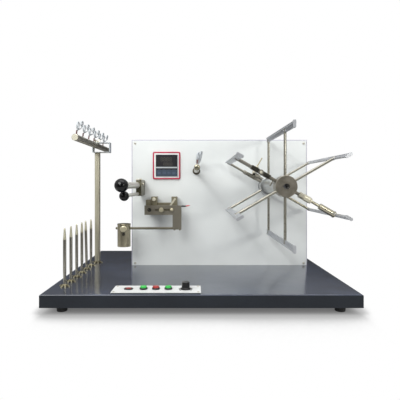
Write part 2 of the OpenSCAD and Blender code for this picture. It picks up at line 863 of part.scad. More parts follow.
// A cross foot: four ribbed arms round a hub
module cross_foot(w, hub, bore) difference() {
  union() {
    rod_z(hub, 0, foot_top - gap / 3);
    for (a = [0 : 90 : 270]) rotate(a) {
      translate([0, -2.5, 0]) cube([w / 2 - 2.5, 5, foot_plate]);
      translate([w / 2 - 2.5, 0, 0]) rod_z(2.5, 0, foot_plate);
      translate([0, 0.8, 0]) rotate([90, 0, 0]) linear_extrude(1.6)
        polygon([[0, 0], [w / 2 - 3, 0], [w / 2 - 3, foot_plate + 0.4],
            [hub, foot_top - 0.3], [0, foot_top - 0.3]]);
    }
  }
  rod_z(bore, -eps, foot_top + eps);
}

module peg_feet() {
  color("#b39b5d") on_deck() {
    for (y = peg_ys) translate([peg_x, y, 0]) rotate(-20) cross_foot(peg_foot_w, 5.2, stud_r + fit);
    translate([post_x, post_y, 0]) rotate(-20) cross_foot(peg_foot_w + 8, 8, post_stud_r + fit);
  }
}

module counter_body() {
  w = counter_w;
  color("#e4e5e3") on_deck() translate([counter_mid_x, 0, counter_z]) {
    difference() {
      slab_y(panel_y - counter_proud, counter_proud + panel_t + counter_d) round_plate(w, w, 2);
      slab_y(panel_y - counter_proud - eps, window_depth + eps)
        square(window_w + 2 * window_gap, center = true);
    }
    for (s = [-1, 1]) translate([s * (w / 2 + 2.4), shell_y + 20, 0]) cube([5, 40, 12], center = true);
  }
}

module counter_frame() {
  w = counter_w + 2 * gap;
  color("#b3243f") on_deck() translate([counter_mid_x, 0, counter_z])
    slab_y(panel_y - counter_proud - 1, counter_proud + 1) difference() {
      round_plate(w + 2 * frame_band, w + 2 * frame_band, 5);
      round_plate(w, w, 2.2);
    }
}

// A display above a row of flat keys
module counter_window() {
  y = panel_y - counter_proud + 0.4;
  color("#1b1d22") on_deck() translate([counter_mid_x, 0, counter_z]) {
    slab_y(y, window_depth - 0.4) square(window_w, center = true);
    for (i = [0 : 4]) translate([(i - 2) * window_w / 5.4, 0, -window_w * 0.33])
      slab_y(y - 0.3, 0.5) round_plate(window_w / 7, window_w / 9, 1.5);
  }
}

module control_strip() {
  color("#e6e8e9") on_deck() difference() {
    translate([strip_x + strip_w / 2, strip_y + strip_d / 2, 0]) linear_extrude(strip_t)
      round_plate(strip_w, strip_d, 2);
    at_strip_screws() rod_z(1.5 + gap, -strip_t - eps, eps);
    for (x = button_xs) translate([x, control_y, 0]) rod_z(barrel_r + gap, -eps, strip_t + eps);
    translate([rocker_x, control_y, strip_t / 2])
      cube([rocker_len + 4 + gap, rocker_w + 4 + gap, strip_t + 2 * eps], center = true);
    translate([knob_x, control_y, 0]) rod_z(bush_r + gap, -eps, strip_t + eps);
  }
}

// Three barrels, the rocker's housing and the knob's potentiometer
module push_switches() {
  color("#2a2b2e") on_deck() {
    for (x = button_xs) translate([x, control_y, 0]) button_barrel();
    translate([rocker_x, control_y, 0]) rocker_housing();
    translate([knob_x, control_y, 0]) difference() {
      union() {
        translate([0, 0, -pot_depth - sheet_t]) chamfered(pot_r, pot_depth + sheet_t, 0.6);
        rod_z(bush_r, -0.2, strip_t + 3.5);
        translate([0, 0, strip_t]) cylinder(d = 13, h = 2, $fn = 6);
      }
      rod_z(spindle_r + fit, -pot_depth / 2 - 1, strip_t + 10);
    }
  }
}

module button_barrel() {
  pocket = button_d / 2 + gap;
  difference() {
    union() {
      translate([0, 0, strip_t]) chamfered(pocket + 1.7, collar_h, 0.5);
      rod_z(barrel_r, -switch_depth / 3, strip_t + 0.1);
      translate([0, 0, -switch_depth * 0.6]) cube([18, 18, switch_depth * 0.75], center = true);
    }
    rod_z(pocket, strip_t + collar_floor, strip_t + collar_h + eps);
    rod_z(plunger_r + fit, strip_t - plunger_len - 2, strip_t + 2);
  }
}

module rocker_housing() difference() {
  union() {
    translate([0, 0, strip_t]) linear_extrude(2.2)
      round_plate(rocker_len + 9, rocker_w + 8, rocker_w / 2 + 3.9);
    translate([0, 0, strip_t / 2 - 10])
      cube([rocker_len + 4, rocker_w + 4, strip_t + 20.2], center = true);
  }
  translate([0, 0, strip_t + 2]) cube([rocker_len + 1 + 2 * gap, rocker_w + 2 * gap, 20], center = true);
  translate([0, 0, rocker_z]) rod_y(rocker_pin_r + fit, -rocker_w / 2 - 1.2, rocker_w / 2 + 1.2);
}

module power_rocker() {
  color("#c4202b") on_deck() translate([rocker_x, control_y, rocker_z]) {
    intersection() {
      rod_y(rocker_len / 2, -rocker_w / 2, rocker_w / 2);
      translate([-rocker_len, -rocker_w, -3]) cube([2 * rocker_len, 2 * rocker_w, 9]);
      translate([0, 0, 32.6]) rotate([90, 0, 0]) difference() {
        cube([60, 80, 60], center = true);
        cylinder(r = 28, h = 70, center = true);
      }
    }
    rod_y(rocker_pin_r, -rocker_w / 2 - 1, rocker_w / 2 + 1);
  }
}

module button_cap(i) {
  r = button_d / 2;
  z0 = strip_t + collar_floor + button_travel + 0.4;
  top = strip_t + button_h;
  on_deck() translate([button_xs[i], control_y, 0]) {
    rotate_extrude()
      polygon([[0, z0], [r, z0], [r, top - 1.4], [r - 0.5, top - 0.5], [r - 1.6, top], [0, top]]);
    rod_z(plunger_r, z0 - plunger_len + 3, z0 + 0.1);
  }
}

module button_start() { color("#27b04b") button_cap(0); }

module button_stop() { color("#c22a2e") button_cap(1); }

module button_reset() { color("#27b04b") button_cap(2); }

module speed_knob() {
  z0 = strip_t + 0.6;
  r = knob_d / 2;
  color("#1a1b1d") on_deck() translate([knob_x, control_y, 0]) {
    difference() {
      rotate_extrude() polygon([
        [0, z0], [r + 3.8, z0], [r + 3.8, z0 + 1.6], [r + 0.6, z0 + 4],
        [r, z0 + knob_h - 1.2], [r - 1.2, z0 + knob_h], [0, z0 + knob_h],
      ]);
      rod_z(8, z0 - eps, strip_t + 5);
      for (i = [0 : 17]) rotate(i * 20) translate([r + 0.9, 0, 0])
        rod_z(1.3, z0 + 5, z0 + knob_h + eps);
    }
    rod_z(spindle_r, -pot_depth / 2, z0 + 6);
  }
}

module traverse_bushing() {
  color("#6f6a58") on_deck() translate([trav_x, 0, trav_z]) {
    difference() {
      union() {
        bevel_y(bushing_r + 2, panel_y - 4, panel_y, 0.6);
        rod_y(bushing_r, panel_y - 0.1, panel_y + bushing_len);
      }
      rod_y(trav_r + fit, panel_y - 5, panel_y + bushing_len + 1);
    }
    translate([0, panel_y + bushing_len - 1.2, -trav_r - fit - 0.1])
      cube([key_w - 2 * gap, 2.2, 2 * key_h - 1], center = true);
    nut_y(shell_y, bushing_r + fit, 2 * bushing_r + 8, 5);
  }
}

module traverse_rod() {
  color("#938f80") on_deck() translate([trav_x, 0, trav_z]) difference() {
    union() {
      rod_y(trav_r, traverse_front + 3, trav_back);
      translate([0, traverse_front, 0]) rotate([-90, 0, 0]) rotate_extrude() polygon([
        [0, 0], [trav_r - 4, 0.3], [trav_r - 1.6, 1.4], [trav_r - 0.3, 3.05], [trav_r, 3.1], [0, 3.1],
      ]);
    }
    for (y = rod_eye_ys) translate([0, y, 0])
      rod_z(eye_pin_r + fit, trav_r - eye_pin_len - 1, trav_r + 1);
    translate([-key_w / 2, panel_y - 10, -trav_r - 1])
      cube([key_w, trav_back - panel_y + 11, key_h + 1]);
  }
}

module rod_guides() {
  color("#dfe1e0") on_deck() for (y = rod_eye_ys) translate([trav_x, y, trav_z + trav_r])
    guide_eye(rod_eye_turn);
}

// The yoke's two rollers run on opposite sides of the cam
module cam_yoke() {
  color("#7b7c7e") on_deck() {
    difference() {
      union() {
        translate([trav_x, 0, trav_z]) bevel_y(collar_r, collar_y0, collar_y1, 0.6);
        translate([yoke_x, collar_y0, trav_z - yoke_h / 2])
          cube([yoke_t, roller_ys[1] - collar_y0, yoke_h]);
        translate([0, roller_ys[1], trav_z]) rod_x(yoke_h / 2, yoke_x, yoke_x + yoke_t);
        translate([yoke_x + 0.1, collar_y0 + 2, trav_z - 5])
          cube([yoke_t + 4, collar_y1 - collar_y0 - 4, 10]);
      }
      translate([trav_x, 0, trav_z]) rod_y(trav_r + fit, collar_y0 - eps, collar_y1 + eps);
    }
    for (y = roller_ys) translate([0, y, trav_z]) {
      rod_x(3, yoke_x + yoke_t - 0.1, cam_x1);
      difference() {
        bevel_x(roller_r, cam_x0 + gap, cam_x1 - gap, 0.4);
        rod_x(3 + fit, cam_x0, cam_x1);
      }
    }
  }
}

// Half of the heart cam's outline: the roller's path r = near + stroke * t / 180, less the roller
function cam_r_at(t) = cam_near + stroke * t / 180;
function cam_tilt(t) = atan(stroke / PI / cam_r_at(t));
function cam_point(t) =
  let (a = t + 180 - cam_tilt(t), d = roller_r + gap)
  [cam_r_at(t) * cos(t) + d * cos(a), cam_r_at(t) * sin(t) + d * sin(a)];

module heart_cam() {
  steps = 36;
  d = roller_r + gap;
  a0 = 180 - cam_tilt(0);
  notch = [for (i = [0 : 3]) let (a = 180 + (a0 - 180) * i / 4) [cam_near + d * cos(a), d * sin(a)]];
  flank = [for (i = [0 : steps]) cam_point(i * 180 / steps)];
  half = concat(notch, flank, [[-cam_far - 5, -1], [0, -1]]);
  color("#8f9092") on_deck() translate([cam_x0, cam_axis_y, trav_z]) rotate([90, 0, 90])
    difference() {
      linear_extrude(cam_t) mirror([1, 0]) for (s = [0, 1]) mirror([0, s]) intersection() {
        polygon(half);
        translate([-cam_far, 0]) square([2 * cam_far, cam_far]);
      }
      rod_z(cam_r + fit, -eps, cam_t + eps);
    }
}

module cam_shaft() {
  color("#a5a6a8") on_deck() translate([0, cam_axis_y, trav_z]) {
    bevel_x(cam_r, cam_x0, cam_shaft_end, 0.6);
    translate([cam_x1 + gap, 0, 0]) difference() {
      bevel_x(cam_r + 5, 0, 9, 0.6);
      rod_x(cam_r + fit, -eps, 10);
    }
  }
}

module tension_mount() {
  color("#6c6956") on_deck() translate([tension_mid, 0, tension_z]) {
    translate([-tension_w / 2, panel_y - mount_t, -tension_h / 2])
      cube([tension_w, mount_t, tension_h]);
    rod_y(tension_pin_r, panel_y - mount_t - 48, panel_y - mount_t + 0.1);
    rod_y(4, panel_y - 0.1, shell_y + 9);
    nut_y(shell_y, 4 + fit, 12, 5);
  }
}

module tension_head() {
  color("#7d7a67") on_deck() translate([tension_mid, 0, tension_z]) {
    difference() {
      translate([-tension_w / 2, head_front, -tension_h / 2])
        cube([tension_w, head_back - head_front, tension_h]);
      rod_y(tension_pin_r + fit, panel_y - mount_t - 50, head_back + eps);
      translate([tension_w / 2 - 4.6, head_front + 12, tension_h / 2]) rod_z(2.5 + fit, -14, eps);
      translate([rod_big_x - tension_mid, 0, rod_big_z - tension_z])
        rod_y(rod_big_spigot + fit, head_front - eps, head_front + spigot_len + 0.5);
      translate([rod_small_x - tension_mid, 0, rod_small_z - tension_z])
        rod_y(rod_small_spigot + fit, head_front - eps, head_front + spigot_len + 0.5);
      translate([0, head_front + 24, 12.5]) rod_x(2 + fit, tension_w / 2 - 5, tension_w);
    }
    translate([tension_w / 2 - 4.6, head_front + 12, tension_h / 2]) {
      rod_z(2.5, -13, 1.2);
      translate([0, 0, 0.8]) chamfered(3.6, 4, 0.8);
      translate([0, 0, 2.8]) rod_x(1.1, -15, 5);
    }
    translate([0, head_front + 24, 12.5]) {
      rod_x(2, tension_w / 2 - 4.5, tension_w / 2 + 1);
      bevel_x(4, tension_w / 2 + 0.05, tension_w / 2 + 4.6, 0.7);
    }
  }
}

module tension_rods() {
  color("#b5b2a6") on_deck() {
    translate([rod_big_x, 0, rod_big_z]) {
      bevel_y(rod_big_d / 2, ball_big_y + ball_big_d / 2 - 3, head_front - fit, 0.8);
      rod_y(rod_big_spigot, head_front - 0.2, head_front + spigot_len);
      rod_y(3, ball_big_y, ball_big_y + ball_big_d / 2);
    }
    translate([rod_small_x, 0, rod_small_z]) {
      bevel_y(rod_small_d / 2, ball_small_y + ball_small_d / 2 - 1.5, head_front - fit, 0.6);
      rod_y(rod_small_spigot, head_front - 0.2, head_front + spigot_len);
      rod_y(2.5, ball_small_y, ball_small_y + ball_small_d / 2);
    }
  }
}

module tension_balls() {
  color("#0f0f11") on_deck() {
    translate([rod_big_x, ball_big_y, rod_big_z]) ball(ball_big_d / 2, rod_big_d / 2, 3, 3);
    translate([rod_small_x, ball_small_y, rod_small_z]) ball(ball_small_d / 2, rod_small_d / 2, 2.5, 1.5);
  }
}

// A ball with a seat for its rod's shoulder
module ball(r, seat, thread, depth) rotate([-90, 0, 0]) rotate_extrude() difference() {
  intersection() {
    circle(r);
    translate([0, -r]) square([r, 2 * r]);
  }
  translate([0, r - depth - fit]) square([seat + fit, 2 * depth]);
  translate([0, -fit]) square([thread + fit, r]);
}

module at_carrier_studs() {
  for (x = [carrier_left + 24, carrier_right - 9]) translate([x, 0, pivot_z + 10]) children();
}

// The carrier on the panel: a pivot block, two uprights and a cross member
module balance_carrier() {
  back = panel_y - plate_back_t;
  arm_y = carrier_front + 14;
  arm_len = back - arm_y + 0.1;
  color("#6f6b59") on_deck() {
    translate([carrier_left, back, pivot_z - 14]) cube([carrier_right - carrier_left, plate_back_t, 34]);
    translate([carrier_left, carrier_front, pivot_z - 12]) cube([16, back - carrier_front + 0.1, 44.5]);
    translate([pivot_at, 0, pivot_z]) difference() {
      rod_y(pivot_r, beam_y - 1.5, carrier_front + 0.1);
      rod_y(pivot_r / 2, beam_y - 2, beam_y + 4);
    }
    difference() {
      translate([carrier_left + 16, arm_y, pivot_z + 2]) cube([20, arm_len, 40.4]);
      translate([carrier_left + 26, carrier_front + 10, pivot_z + 34]) rod_y(2.5 + fit, 0, 20);
    }
    translate([carrier_left + 26, arm_y, pivot_z + 34]) {
      rod_y(2.5, -7, 14);
      bevel_y(6, -8, -0.3, 1);
    }
    translate([carrier_left + 35.9, carrier_front + 20, pivot_z + 8])
      cube([carrier_right - carrier_left - 54, 14, 14.3]);
    translate([carrier_right - 18.8, arm_y, pivot_z + 2]) cube([18.8, arm_len, 40.4]);
    at_carrier_studs() {
      rod_y(3, panel_y - 0.1, shell_y + 8);
      nut_y(shell_y, 3 + fit, 10, 4);
    }
    translate([carrier_right - 12, arm_y, pivot_z + 28]) rotate([0, 35, 0])
      translate([-3, -1.5, -19]) cube([6, 1.6, 30]);
  }
}

module balance_beam() {
  color("#77736a") on_deck() {
    difference() {
      union() {
        translate([beam_left, beam_y, beam_top - beam_h]) cube([beam_len, beam_t, beam_h]);
        translate([leg_left, beam_y, leg_bottom]) cube([leg_w, beam_t, beam_top - leg_bottom]);
        translate([pivot_at, 0, pivot_z]) rod_y(6.5, beam_y - 1, beam_y + 1);
      }
      translate([pivot_at, 0, pivot_z]) rod_y(pivot_r + fit, beam_y - 2, beam_back + eps);
      translate([slot_left + slot_h / 2, beam_y - eps, pivot_z - slot_h / 2])
        cube([slot_len - slot_h, beam_t + 2 * eps, slot_h]);
      for (x = [slot_left + slot_h / 2, slot_left + slot_len - slot_h / 2])
        translate([x, 0, pivot_z]) rod_y(slot_h / 2, beam_y - eps, beam_back + eps);
      translate([0, beam_mid_y, poise_z]) rod_x(poise_rod_d / 2 + fit, leg_left - eps, leg_left + 20);
      translate([beam_right - 14, beam_mid_y, beam_top - 2.4]) rod_x(1.5 + fit, 0, 15);
    }
    translate([0, beam_mid_y, poise_z])
      bevel_x(poise_rod_d / 2, leg_left - poise_rod_len, leg_left + 19.5, 1);
    translate([slot_left + slot_len + 5.8, beam_y, pivot_z]) {
      rod_y(6, -3, 0.1);
      translate([0, -3, 0]) rotate([90, 0, 0]) rotate_extrude()
        polygon([[0, -0.1], [6, -0.1], [5.6, 1.6], [4.2, 3.4], [2.2, 4.5], [0, 4.9]]);
    }
    for (x = [leg_left + 6.3, leg_left + 23.4]) translate([x, beam_mid_y, leg_bottom]) {
      rod_z(2.5, -3, 0.1);
      rod_z(3.2, -1.4, 0.1);
    }
  }
}

// A black tube at the beam's corner with a red needle
module balance_pointer() {
  color("#b3262c") on_deck() translate([beam_right, beam_mid_y, beam_top - 2.4]) {
    rod_x(1.5, -13, 0.2);
    bevel_x(2.5, fit, 15.2, 0.5);
    translate([14, 0, 0]) rotate([0, -8, 0]) rotate([0, 90, 0]) cylinder(r1 = 1.3, r2 = 0.5, h = 16);
  }
}

// The cup hangs on the rod by a cross tube with a thumb screw
module balance_cup() {
  r = cup_d / 2;
  color("#8e8974") on_deck() translate([cup_x, beam_mid_y, 0]) difference() {
    union() {
      difference() {
        union() {
          rod_z(r, cup_bottom, cup_top);
          translate([0, 0, cup_top - 3]) chamfered(r + 0.9, 3, 0.5);
        }
        rod_z(r - cup_t, cup_bottom + 2, cup_top + eps);
      }
      translate([0, 0, poise_z]) rod_x(cup_sleeve_r, -r + 0.6, r - 0.6);
      translate([0, 0, poise_z]) rod_y(4, -r - 1, -cup_sleeve_r + 1);
      translate([0, 0, poise_z]) bevel_y(9, -r - 6.5, -r + 0.3, 1.5);
    }
    translate([0, 0, poise_z]) rod_x(poise_rod_d / 2 + fit, -r - 2, r + 2);
  }
}

module setting_knob() {
  r = setting_d / 2;
  color("#a09a80") on_deck() translate([setting_x, 0, pivot_z]) {
    difference() {
      bevel_y(r, beam_y - 12, beam_y - gap, 1);
      for (i = [0 : 23]) rotate([0, i * 15, 0]) translate([r + 0.5, 0, 0])
        rod_y(0.9, beam_y - 13, beam_y + 1);
    }
    rod_y(setting_r, beam_y - 1, beam_back + 1);
    bevel_y(setting_r + 2.6, beam_back + gap, beam_back + gap + 2.8, 0.4);
  }
}

module reel_flange() {
  back = front_bearing_y + bearing_w + 6;
  color("#9a9a94") on_reel() difference() {
    union() {
      bevel_y(housing_r + 4, panel_y - 6, panel_y, 1);
      rod_y(housing_r, panel_y - 0.1, back);
    }
    rod_y(shaft_r + 2, panel_y - 7, back);
    rod_y(bearing_r + fit, front_bearing_y, back + eps);
  }
}

// Two closed ball bearings, with the seals' rings on their faces
module reel_bearings() {
  color("#b8babc") on_reel() for (y = [front_bearing_y, rear_bearing_y]) difference() {
    bevel_y(bearing_r, y, y + bearing_w, 0.6);
    rod_y(shaft_r + fit, y - eps, y + bearing_w + eps);
    for (f = [y - 1, y + bearing_w - 0.6]) difference() {
      rod_y(bearing_r - 3.5, f, f + 1.6);
      rod_y(shaft_r + 3.5, f - 1, f + 3);
    }
  }
}

module drive_frame() {
  boss_r = bearing_r + 5;
  color("#6b7076") on_deck() difference() {
    union() {
      translate([frame_left, plate_y, 0]) cube([frame_right - frame_left, frame_t, frame_h]);
      translate([frame_left, plate_y, 0]) cube([frame_right - frame_left, 30, 3]);
      for (x = [frame_left, frame_right - 4]) translate([x, plate_y + frame_t - 0.1, 2.9])
        rotate([90, 0, 90]) linear_extrude(4) polygon([[0, 0], [23, 0], [0, 80]]);
      translate([reel_x, 0, reel_z]) rod_y(boss_r, plate_y, boss_back);
      translate([frame_left + 4, cam_axis_y - 16, trav_z - 16])
        cube([12, plate_y - cam_axis_y + 16.1, 32]);
    }
    translate([reel_x, 0, reel_z]) rod_y(shaft_r + 2, plate_y - eps, boss_back + eps);
    translate([reel_x, 0, reel_z]) rod_y(bearing_r + fit, rear_bearing_y, boss_back + eps);
    translate([0, cam_axis_y, trav_z]) rod_x(cam_r + fit, frame_left, frame_left + 20);
    translate([reel_x, 0, motor_z]) rod_y(motor_shaft_r + 3, plate_y - eps, plate_y + frame_t + eps);
    translate([frame_left + 60, plate_y - eps, 60]) cube([90, frame_t + 2 * eps, 150]);
  }
}

module drive_motor() {
  front = plate_y - motor_len;
  color("#4d5157") on_deck() translate([reel_x, 0, motor_z]) difference() {
    union() {
      bevel_y(motor_r, front, plate_y - 8, 3);
      translate([-motor_r * 0.9, plate_y - 8, -motor_r * 0.9]) cube([motor_r * 1.8, 8, motor_r * 1.8]);
      for (i = [0 : 23]) rotate([0, i * 15, 0]) translate([motor_r - 1, front + 12, -1])
        cube([4, motor_len - 34, 2]);
    }
    rod_y(motor_shaft_r + fit, plate_y - 30, plate_y + eps);
  }
}

// A pulley with two low flanges; its bore takes the shaft
module pulley(r, bore) difference() {
  union() {
    rod_y(r, 0, pulley_w);
    for (y = [0, pulley_w - 2]) bevel_y(r + 4, y, y + 2, 0.4);
  }
  rod_y(bore + fit, -eps, pulley_w + eps);
}

module driven_pulley() {
  color("#9c9da0") on_reel() translate([0, pulley_y, 0]) difference() {
    pulley(pulley_big_r, shaft_r);
    for (a = [0 : 60 : 300]) rotate([0, a, 0]) translate([(shaft_r + pulley_big_r) / 2 + 2, 0, 0])
      rod_y(7, -eps, pulley_w + eps);
  }
}

module motor_pulley() {
  color("#9c9da0") on_deck() translate([reel_x, 0, motor_z]) {
    translate([0, pulley_y, 0]) pulley(pulley_small_r, motor_shaft_r);
    bevel_y(motor_shaft_r, plate_y - 28, pulley_y + pulley_w + 2, 0.5);
  }
}

// A flat belt round two circles, a distance apart along the second axis
module belt_outline(small, big, apart) {
  k = asin((big - small) / apart);
  circle(small);
  translate([0, apart]) circle(big);
  polygon([
    [small * cos(k), -small * sin(k)], [big * cos(k), apart - big * sin(k)],
    [-big * cos(k), apart - big * sin(k)], [-small * cos(k), -small * sin(k)],
  ]);
}

module drive_belt() {
  apart = reel_z - motor_z;
  color("#232427") on_deck() translate([reel_x, pulley_y + 2.5, motor_z]) mirror([0, 1, 0])
    rotate([90, 0, 0]) linear_extrude(belt_w) difference() {
      belt_outline(pulley_small_r + gap + belt_t, pulley_big_r + gap + belt_t, apart);
      belt_outline(pulley_small_r + gap, pulley_big_r + gap, apart);
    }
}

module gearbox_case() {
  low = reel_z - 30.6;
  high = trav_z + 33;
  color("#5c6167") on_deck() difference() {
    translate([gear_left, gear_front, low]) cube([gear_w, plate_y - gear_front, high - low]);
    translate([reel_x, 0, reel_z]) rod_y(shaft_r + 0.5, gear_front - eps, plate_y + eps);
    translate([0, cam_axis_y, trav_z]) rod_x(cam_r + fit, gear_left - eps, cam_shaft_end + 1);
    for (z = [low + 6, high - 6], x = [gear_left + 6, gear_left + gear_w - 6])
      translate([x, 0, z]) rod_y(2.5, gear_front - eps, gear_front + 10);
  }
}

module circuit_board() {
  x0 = cabinet_left + 60;
  y0 = shell_y + 25;
  color("#2f6b45") on_deck() translate([x0, y0, 0]) {
    for (x = [6, board_w - 6], y = [6, board_d - 6]) translate([x, y, 0]) rod_z(3, 0, 10.1);
    translate([0, 0, 10]) cube([board_w, board_d, 1.6]);
    for (x = [18, 34, 50]) translate([x, 30, 11.5]) rod_z(6, 0, 18);
    translate([70, 20, 11.5]) cube([30, 30, 12]);
    translate([20, 66, 11.5]) cube([80, 10, 9]);
  }
}

module power_supply() {
  supply_y = cover_y - flange_w - 1 - supply_d;
  color("#a8abad") on_deck() translate([cabinet_left + 25, supply_y, 0]) difference() {
    cube([supply_w, supply_d, supply_h]);
    for (i = [0 : 9]) translate([15 + i * 12, 15, supply_h - 1]) cube([5, supply_d - 30, 2]);
  }
}

module reel_shaft() {
  color("#b3b4b2") on_reel() difference() {
    bevel_y(shaft_r, hub_front + hub_nose, shaft_back, 1);
    rod_y(3.5, hub_front + hub_nose - eps, hub_front + hub_nose + 12);
  }
}

// Two hubs on a barrel, bored for the shaft and for the arms
module reel_hubs() {
  color("#8f8c80") on_reel() difference() {
    union() {
      bevel_y(hub_r, hub_front, hub_front + hub_w, 1);
      rod_y(barrel_d / 2, hub_front + hub_w - 0.1, hub_back - hub_w + 0.1);
      bevel_y(hub_r, hub_back - hub_w, hub_back, 1);
    }
    rod_y(shaft_r + fit, hub_front + hub_nose, hub_back + eps);
    rod_y(recess_r, hub_front - eps, hub_front + hub_nose + eps);
    translate([-recess_r - 5, hub_front - eps, -2]) cube([recess_r + 5, hub_nose - 2, 4]);
    for (a = concat(fixed_arms, [fold_angle, adjust_angle]), y = arm_ys)
      arm(a, y) rod_x(arm_r + fit, arm_seat - 0.5, hub_r + 1);
  }
}

// The slot in an arm's end that straddles a bar's web
module web_slot(r) {
  translate([web_in - 0.3, -r - 1, -web_t / 2 - fit]) cube([40, 2 * r + 2, web_t + 2 * fit]);
  translate([rivet_at, 0, 0]) rod_z(rivet_r + fit, -r - 1, r + 1);
}

module reel_arms() {
  color("#9b9684") on_reel() for (a = fixed_arms, y = arm_ys) arm(a, y) difference() {
    rod_x(arm_r, arm_seat, arm_end);
    web_slot(arm_r);
  }
}

// A bar: web, bead, end cap, and a rivet through each arm's slotted end
module bar(front_r, back_r) {
  translate([web_in, bar_front + cap_t - 0.1, -web_t / 2])
    cube([bead_at - web_in, bar_len - cap_t + 0.1, web_t]);
  translate([bead_at, 0, 0]) rod_y(bead_r, bar_front + cap_t - 0.1, bar_back);
  slab_y(bar_front, cap_t) translate([(reel_r + 1.8 + web_in - 1) / 2, 0])
    round_plate(bar_h + 2.8, bead_d + 1, bead_r);
  translate([web_in - 1, bar_front, -web_t / 2]) cube([3, cap_t + 5, web_t]);
  for (p = [[arm_front_y, front_r], [arm_back_y, back_r]]) translate([rivet_at, p[0], 0]) {
    rod_z(rivet_r, -p[1] - 0.2, p[1] + 0.2);
    for (s = [-1, 1]) translate([0, 0, s * (p[1] + 0.6)]) cylinder(r = 2.5, h = 1, center = true);
  }
}

module reel_bars() {
  color("#a6a7a8") on_reel() for (a = fixed_arms) arm(a) bar(arm_r, arm_r);
}

// A fork that opens outward round a hinge pin along the reel's axis
module hinge_fork() {
  difference() {
    union() {
      translate([fork_in, -fork_w / 2, -fork_r]) cube([hinge_r - fork_in, fork_w, 2 * fork_r]);
      translate([hinge_r, 0, 0]) rod_y(fork_r, -fork_w / 2, fork_w / 2);
    }
    translate([slot_in, -tongue_t / 2 - gap, -fork_r - 1])
      cube([hinge_r, tongue_t + 2 * gap, 2 * fork_r + 2]);
  }
  translate([hinge_r, 0, 0]) {
    rod_y(hinge_pin_d / 2, -fork_w / 2 - 1, fork_w / 2 + 1);
    bevel_y(4.2, -fork_w / 2 - 2.6, -fork_w / 2 + 0.1, 0.5);
    bevel_y(4.2, fork_w / 2 - 0.1, fork_w / 2 + 2.2, 0.5);
  }
}

// The tongue that turns in the fork, with a plain bore
module hinge_tongue(out) difference() {
  union() {
    translate([hinge_r, 0, 0]) rod_y(fork_r - 0.4, -tongue_t / 2, tongue_t / 2);
    translate([hinge_r, -tongue_t / 2, -fork_r + 0.4]) cube([out - hinge_r, tongue_t, 2 * fork_r - 0.8]);
  }
  translate([hinge_r, 0, 0]) rod_y(hinge_pin_d / 2 + fit, -tongue_t, tongue_t);
}

// Both roots of the folding arm, and the adjusting arm's neck
module hub_stubs() {
  color("#77746a") on_reel() {
    for (y = arm_ys) arm(fold_angle, y) {
      rod_x(arm_r, arm_seat, hub_r + 0.3);
      rod_x(stub_r, hub_r + 0.1, fork_in + 0.1);
      hinge_fork();
    }
    arm(fold_angle, arm_front_y) translate([dowel_at, 0, 0]) rod_z(1.7, 0, dowel_len);
    arm(fold_angle, arm_back_y) {
      translate([0, 0, -brace_off]) {
        rod_x(stub_r - 0.6, hub_r + 0.3, fork_in + 10);
        rod_x(stub_r + 0.8, fork_in - 4, fork_in + 10);
      }
      translate([fork_in, -3, -brace_off]) cube([9.5, 6, brace_off]);
    }
    arm(adjust_angle, arm_front_y) {
      rod_x(arm_r, arm_seat, hub_r + 0.3);
      bevel_x(neck_r, hub_r + 0.1, neck_end, 0.5);
    }
  }
}

// The folding arm's outer rods: a thick one in the block, a thin one with its own tongue
module fold_rods() {
  color("#5f5b52") on_reel() {
    arm(fold_angle, arm_front_y) difference() {
      rod_x(fold_rod_d / 2, socket_in + fit, arm_end);
      web_slot(fold_rod_d / 2);
    }
    arm(fold_angle, arm_back_y) difference() {
      union() {
        hinge_tongue(block_in + 2);
        bevel_x(arm_r + 2.5, block_in, block_in + 13, 0.6);
        rod_x(arm_r, block_in + 12, arm_end);
      }
      web_slot(arm_r);
    }
  }
}

module fold_block() {
  color("#4f4b42") on_reel() arm(fold_angle, arm_front_y) difference() {
    union() {
      hinge_tongue(block_in + 1);
      translate([block_in, -fork_w / 2, -block_h / 2]) cube([block_len, fork_w, block_h]);
    }
    rod_x(fold_rod_d / 2 + fit, socket_in, block_out + eps);
    translate([clamp_at, 0, 0]) rod_z(clamp_d / 2 + fit, -block_h, block_h);
  }
}

module fold_bar() {
  color("#a6a7a8") on_reel() arm(fold_angle) bar(fold_rod_d / 2, arm_r);
}

// The clamp screw through the block, with two heads and a thin tail
module clamp_screw() {
  color("#c8c6ba") on_reel() arm(fold_angle, arm_front_y) translate([clamp_at, 0, 0]) {
    rod_z(clamp_d / 2, -block_h / 2 - 1, block_h / 2 + 1);
    for (s = [-1, 1]) translate([0, 0, s * (block_h / 2 + gap + clamp_head / 2) - clamp_head / 2])
      chamfered(clamp_d / 2 + 1.8, clamp_head, 0.7);
    rod_z(1.5, -block_h / 2 - clamp_head - clamp_tail, -block_h / 2 - 1);
  }
}

module adjust_rods() {
  color("#948f7d") on_reel() {
    arm(adjust_angle, arm_front_y) difference() {
      union() {
        rod_x(arm_r, adjust_in, sleeve_in + 1);
        bevel_x(sleeve_d / 2, sleeve_in, sleeve_out, 1);
      }
      web_slot(sleeve_d / 2);
    }
    arm(adjust_angle, arm_back_y) difference() {
      rod_x(arm_r, adjust_seat, arm_end);
      web_slot(arm_r);
    }
  }
}

module adjust_bar() {
  color("#a6a7a8") on_reel() arm(adjust_angle) bar(sleeve_d / 2, arm_r);
}

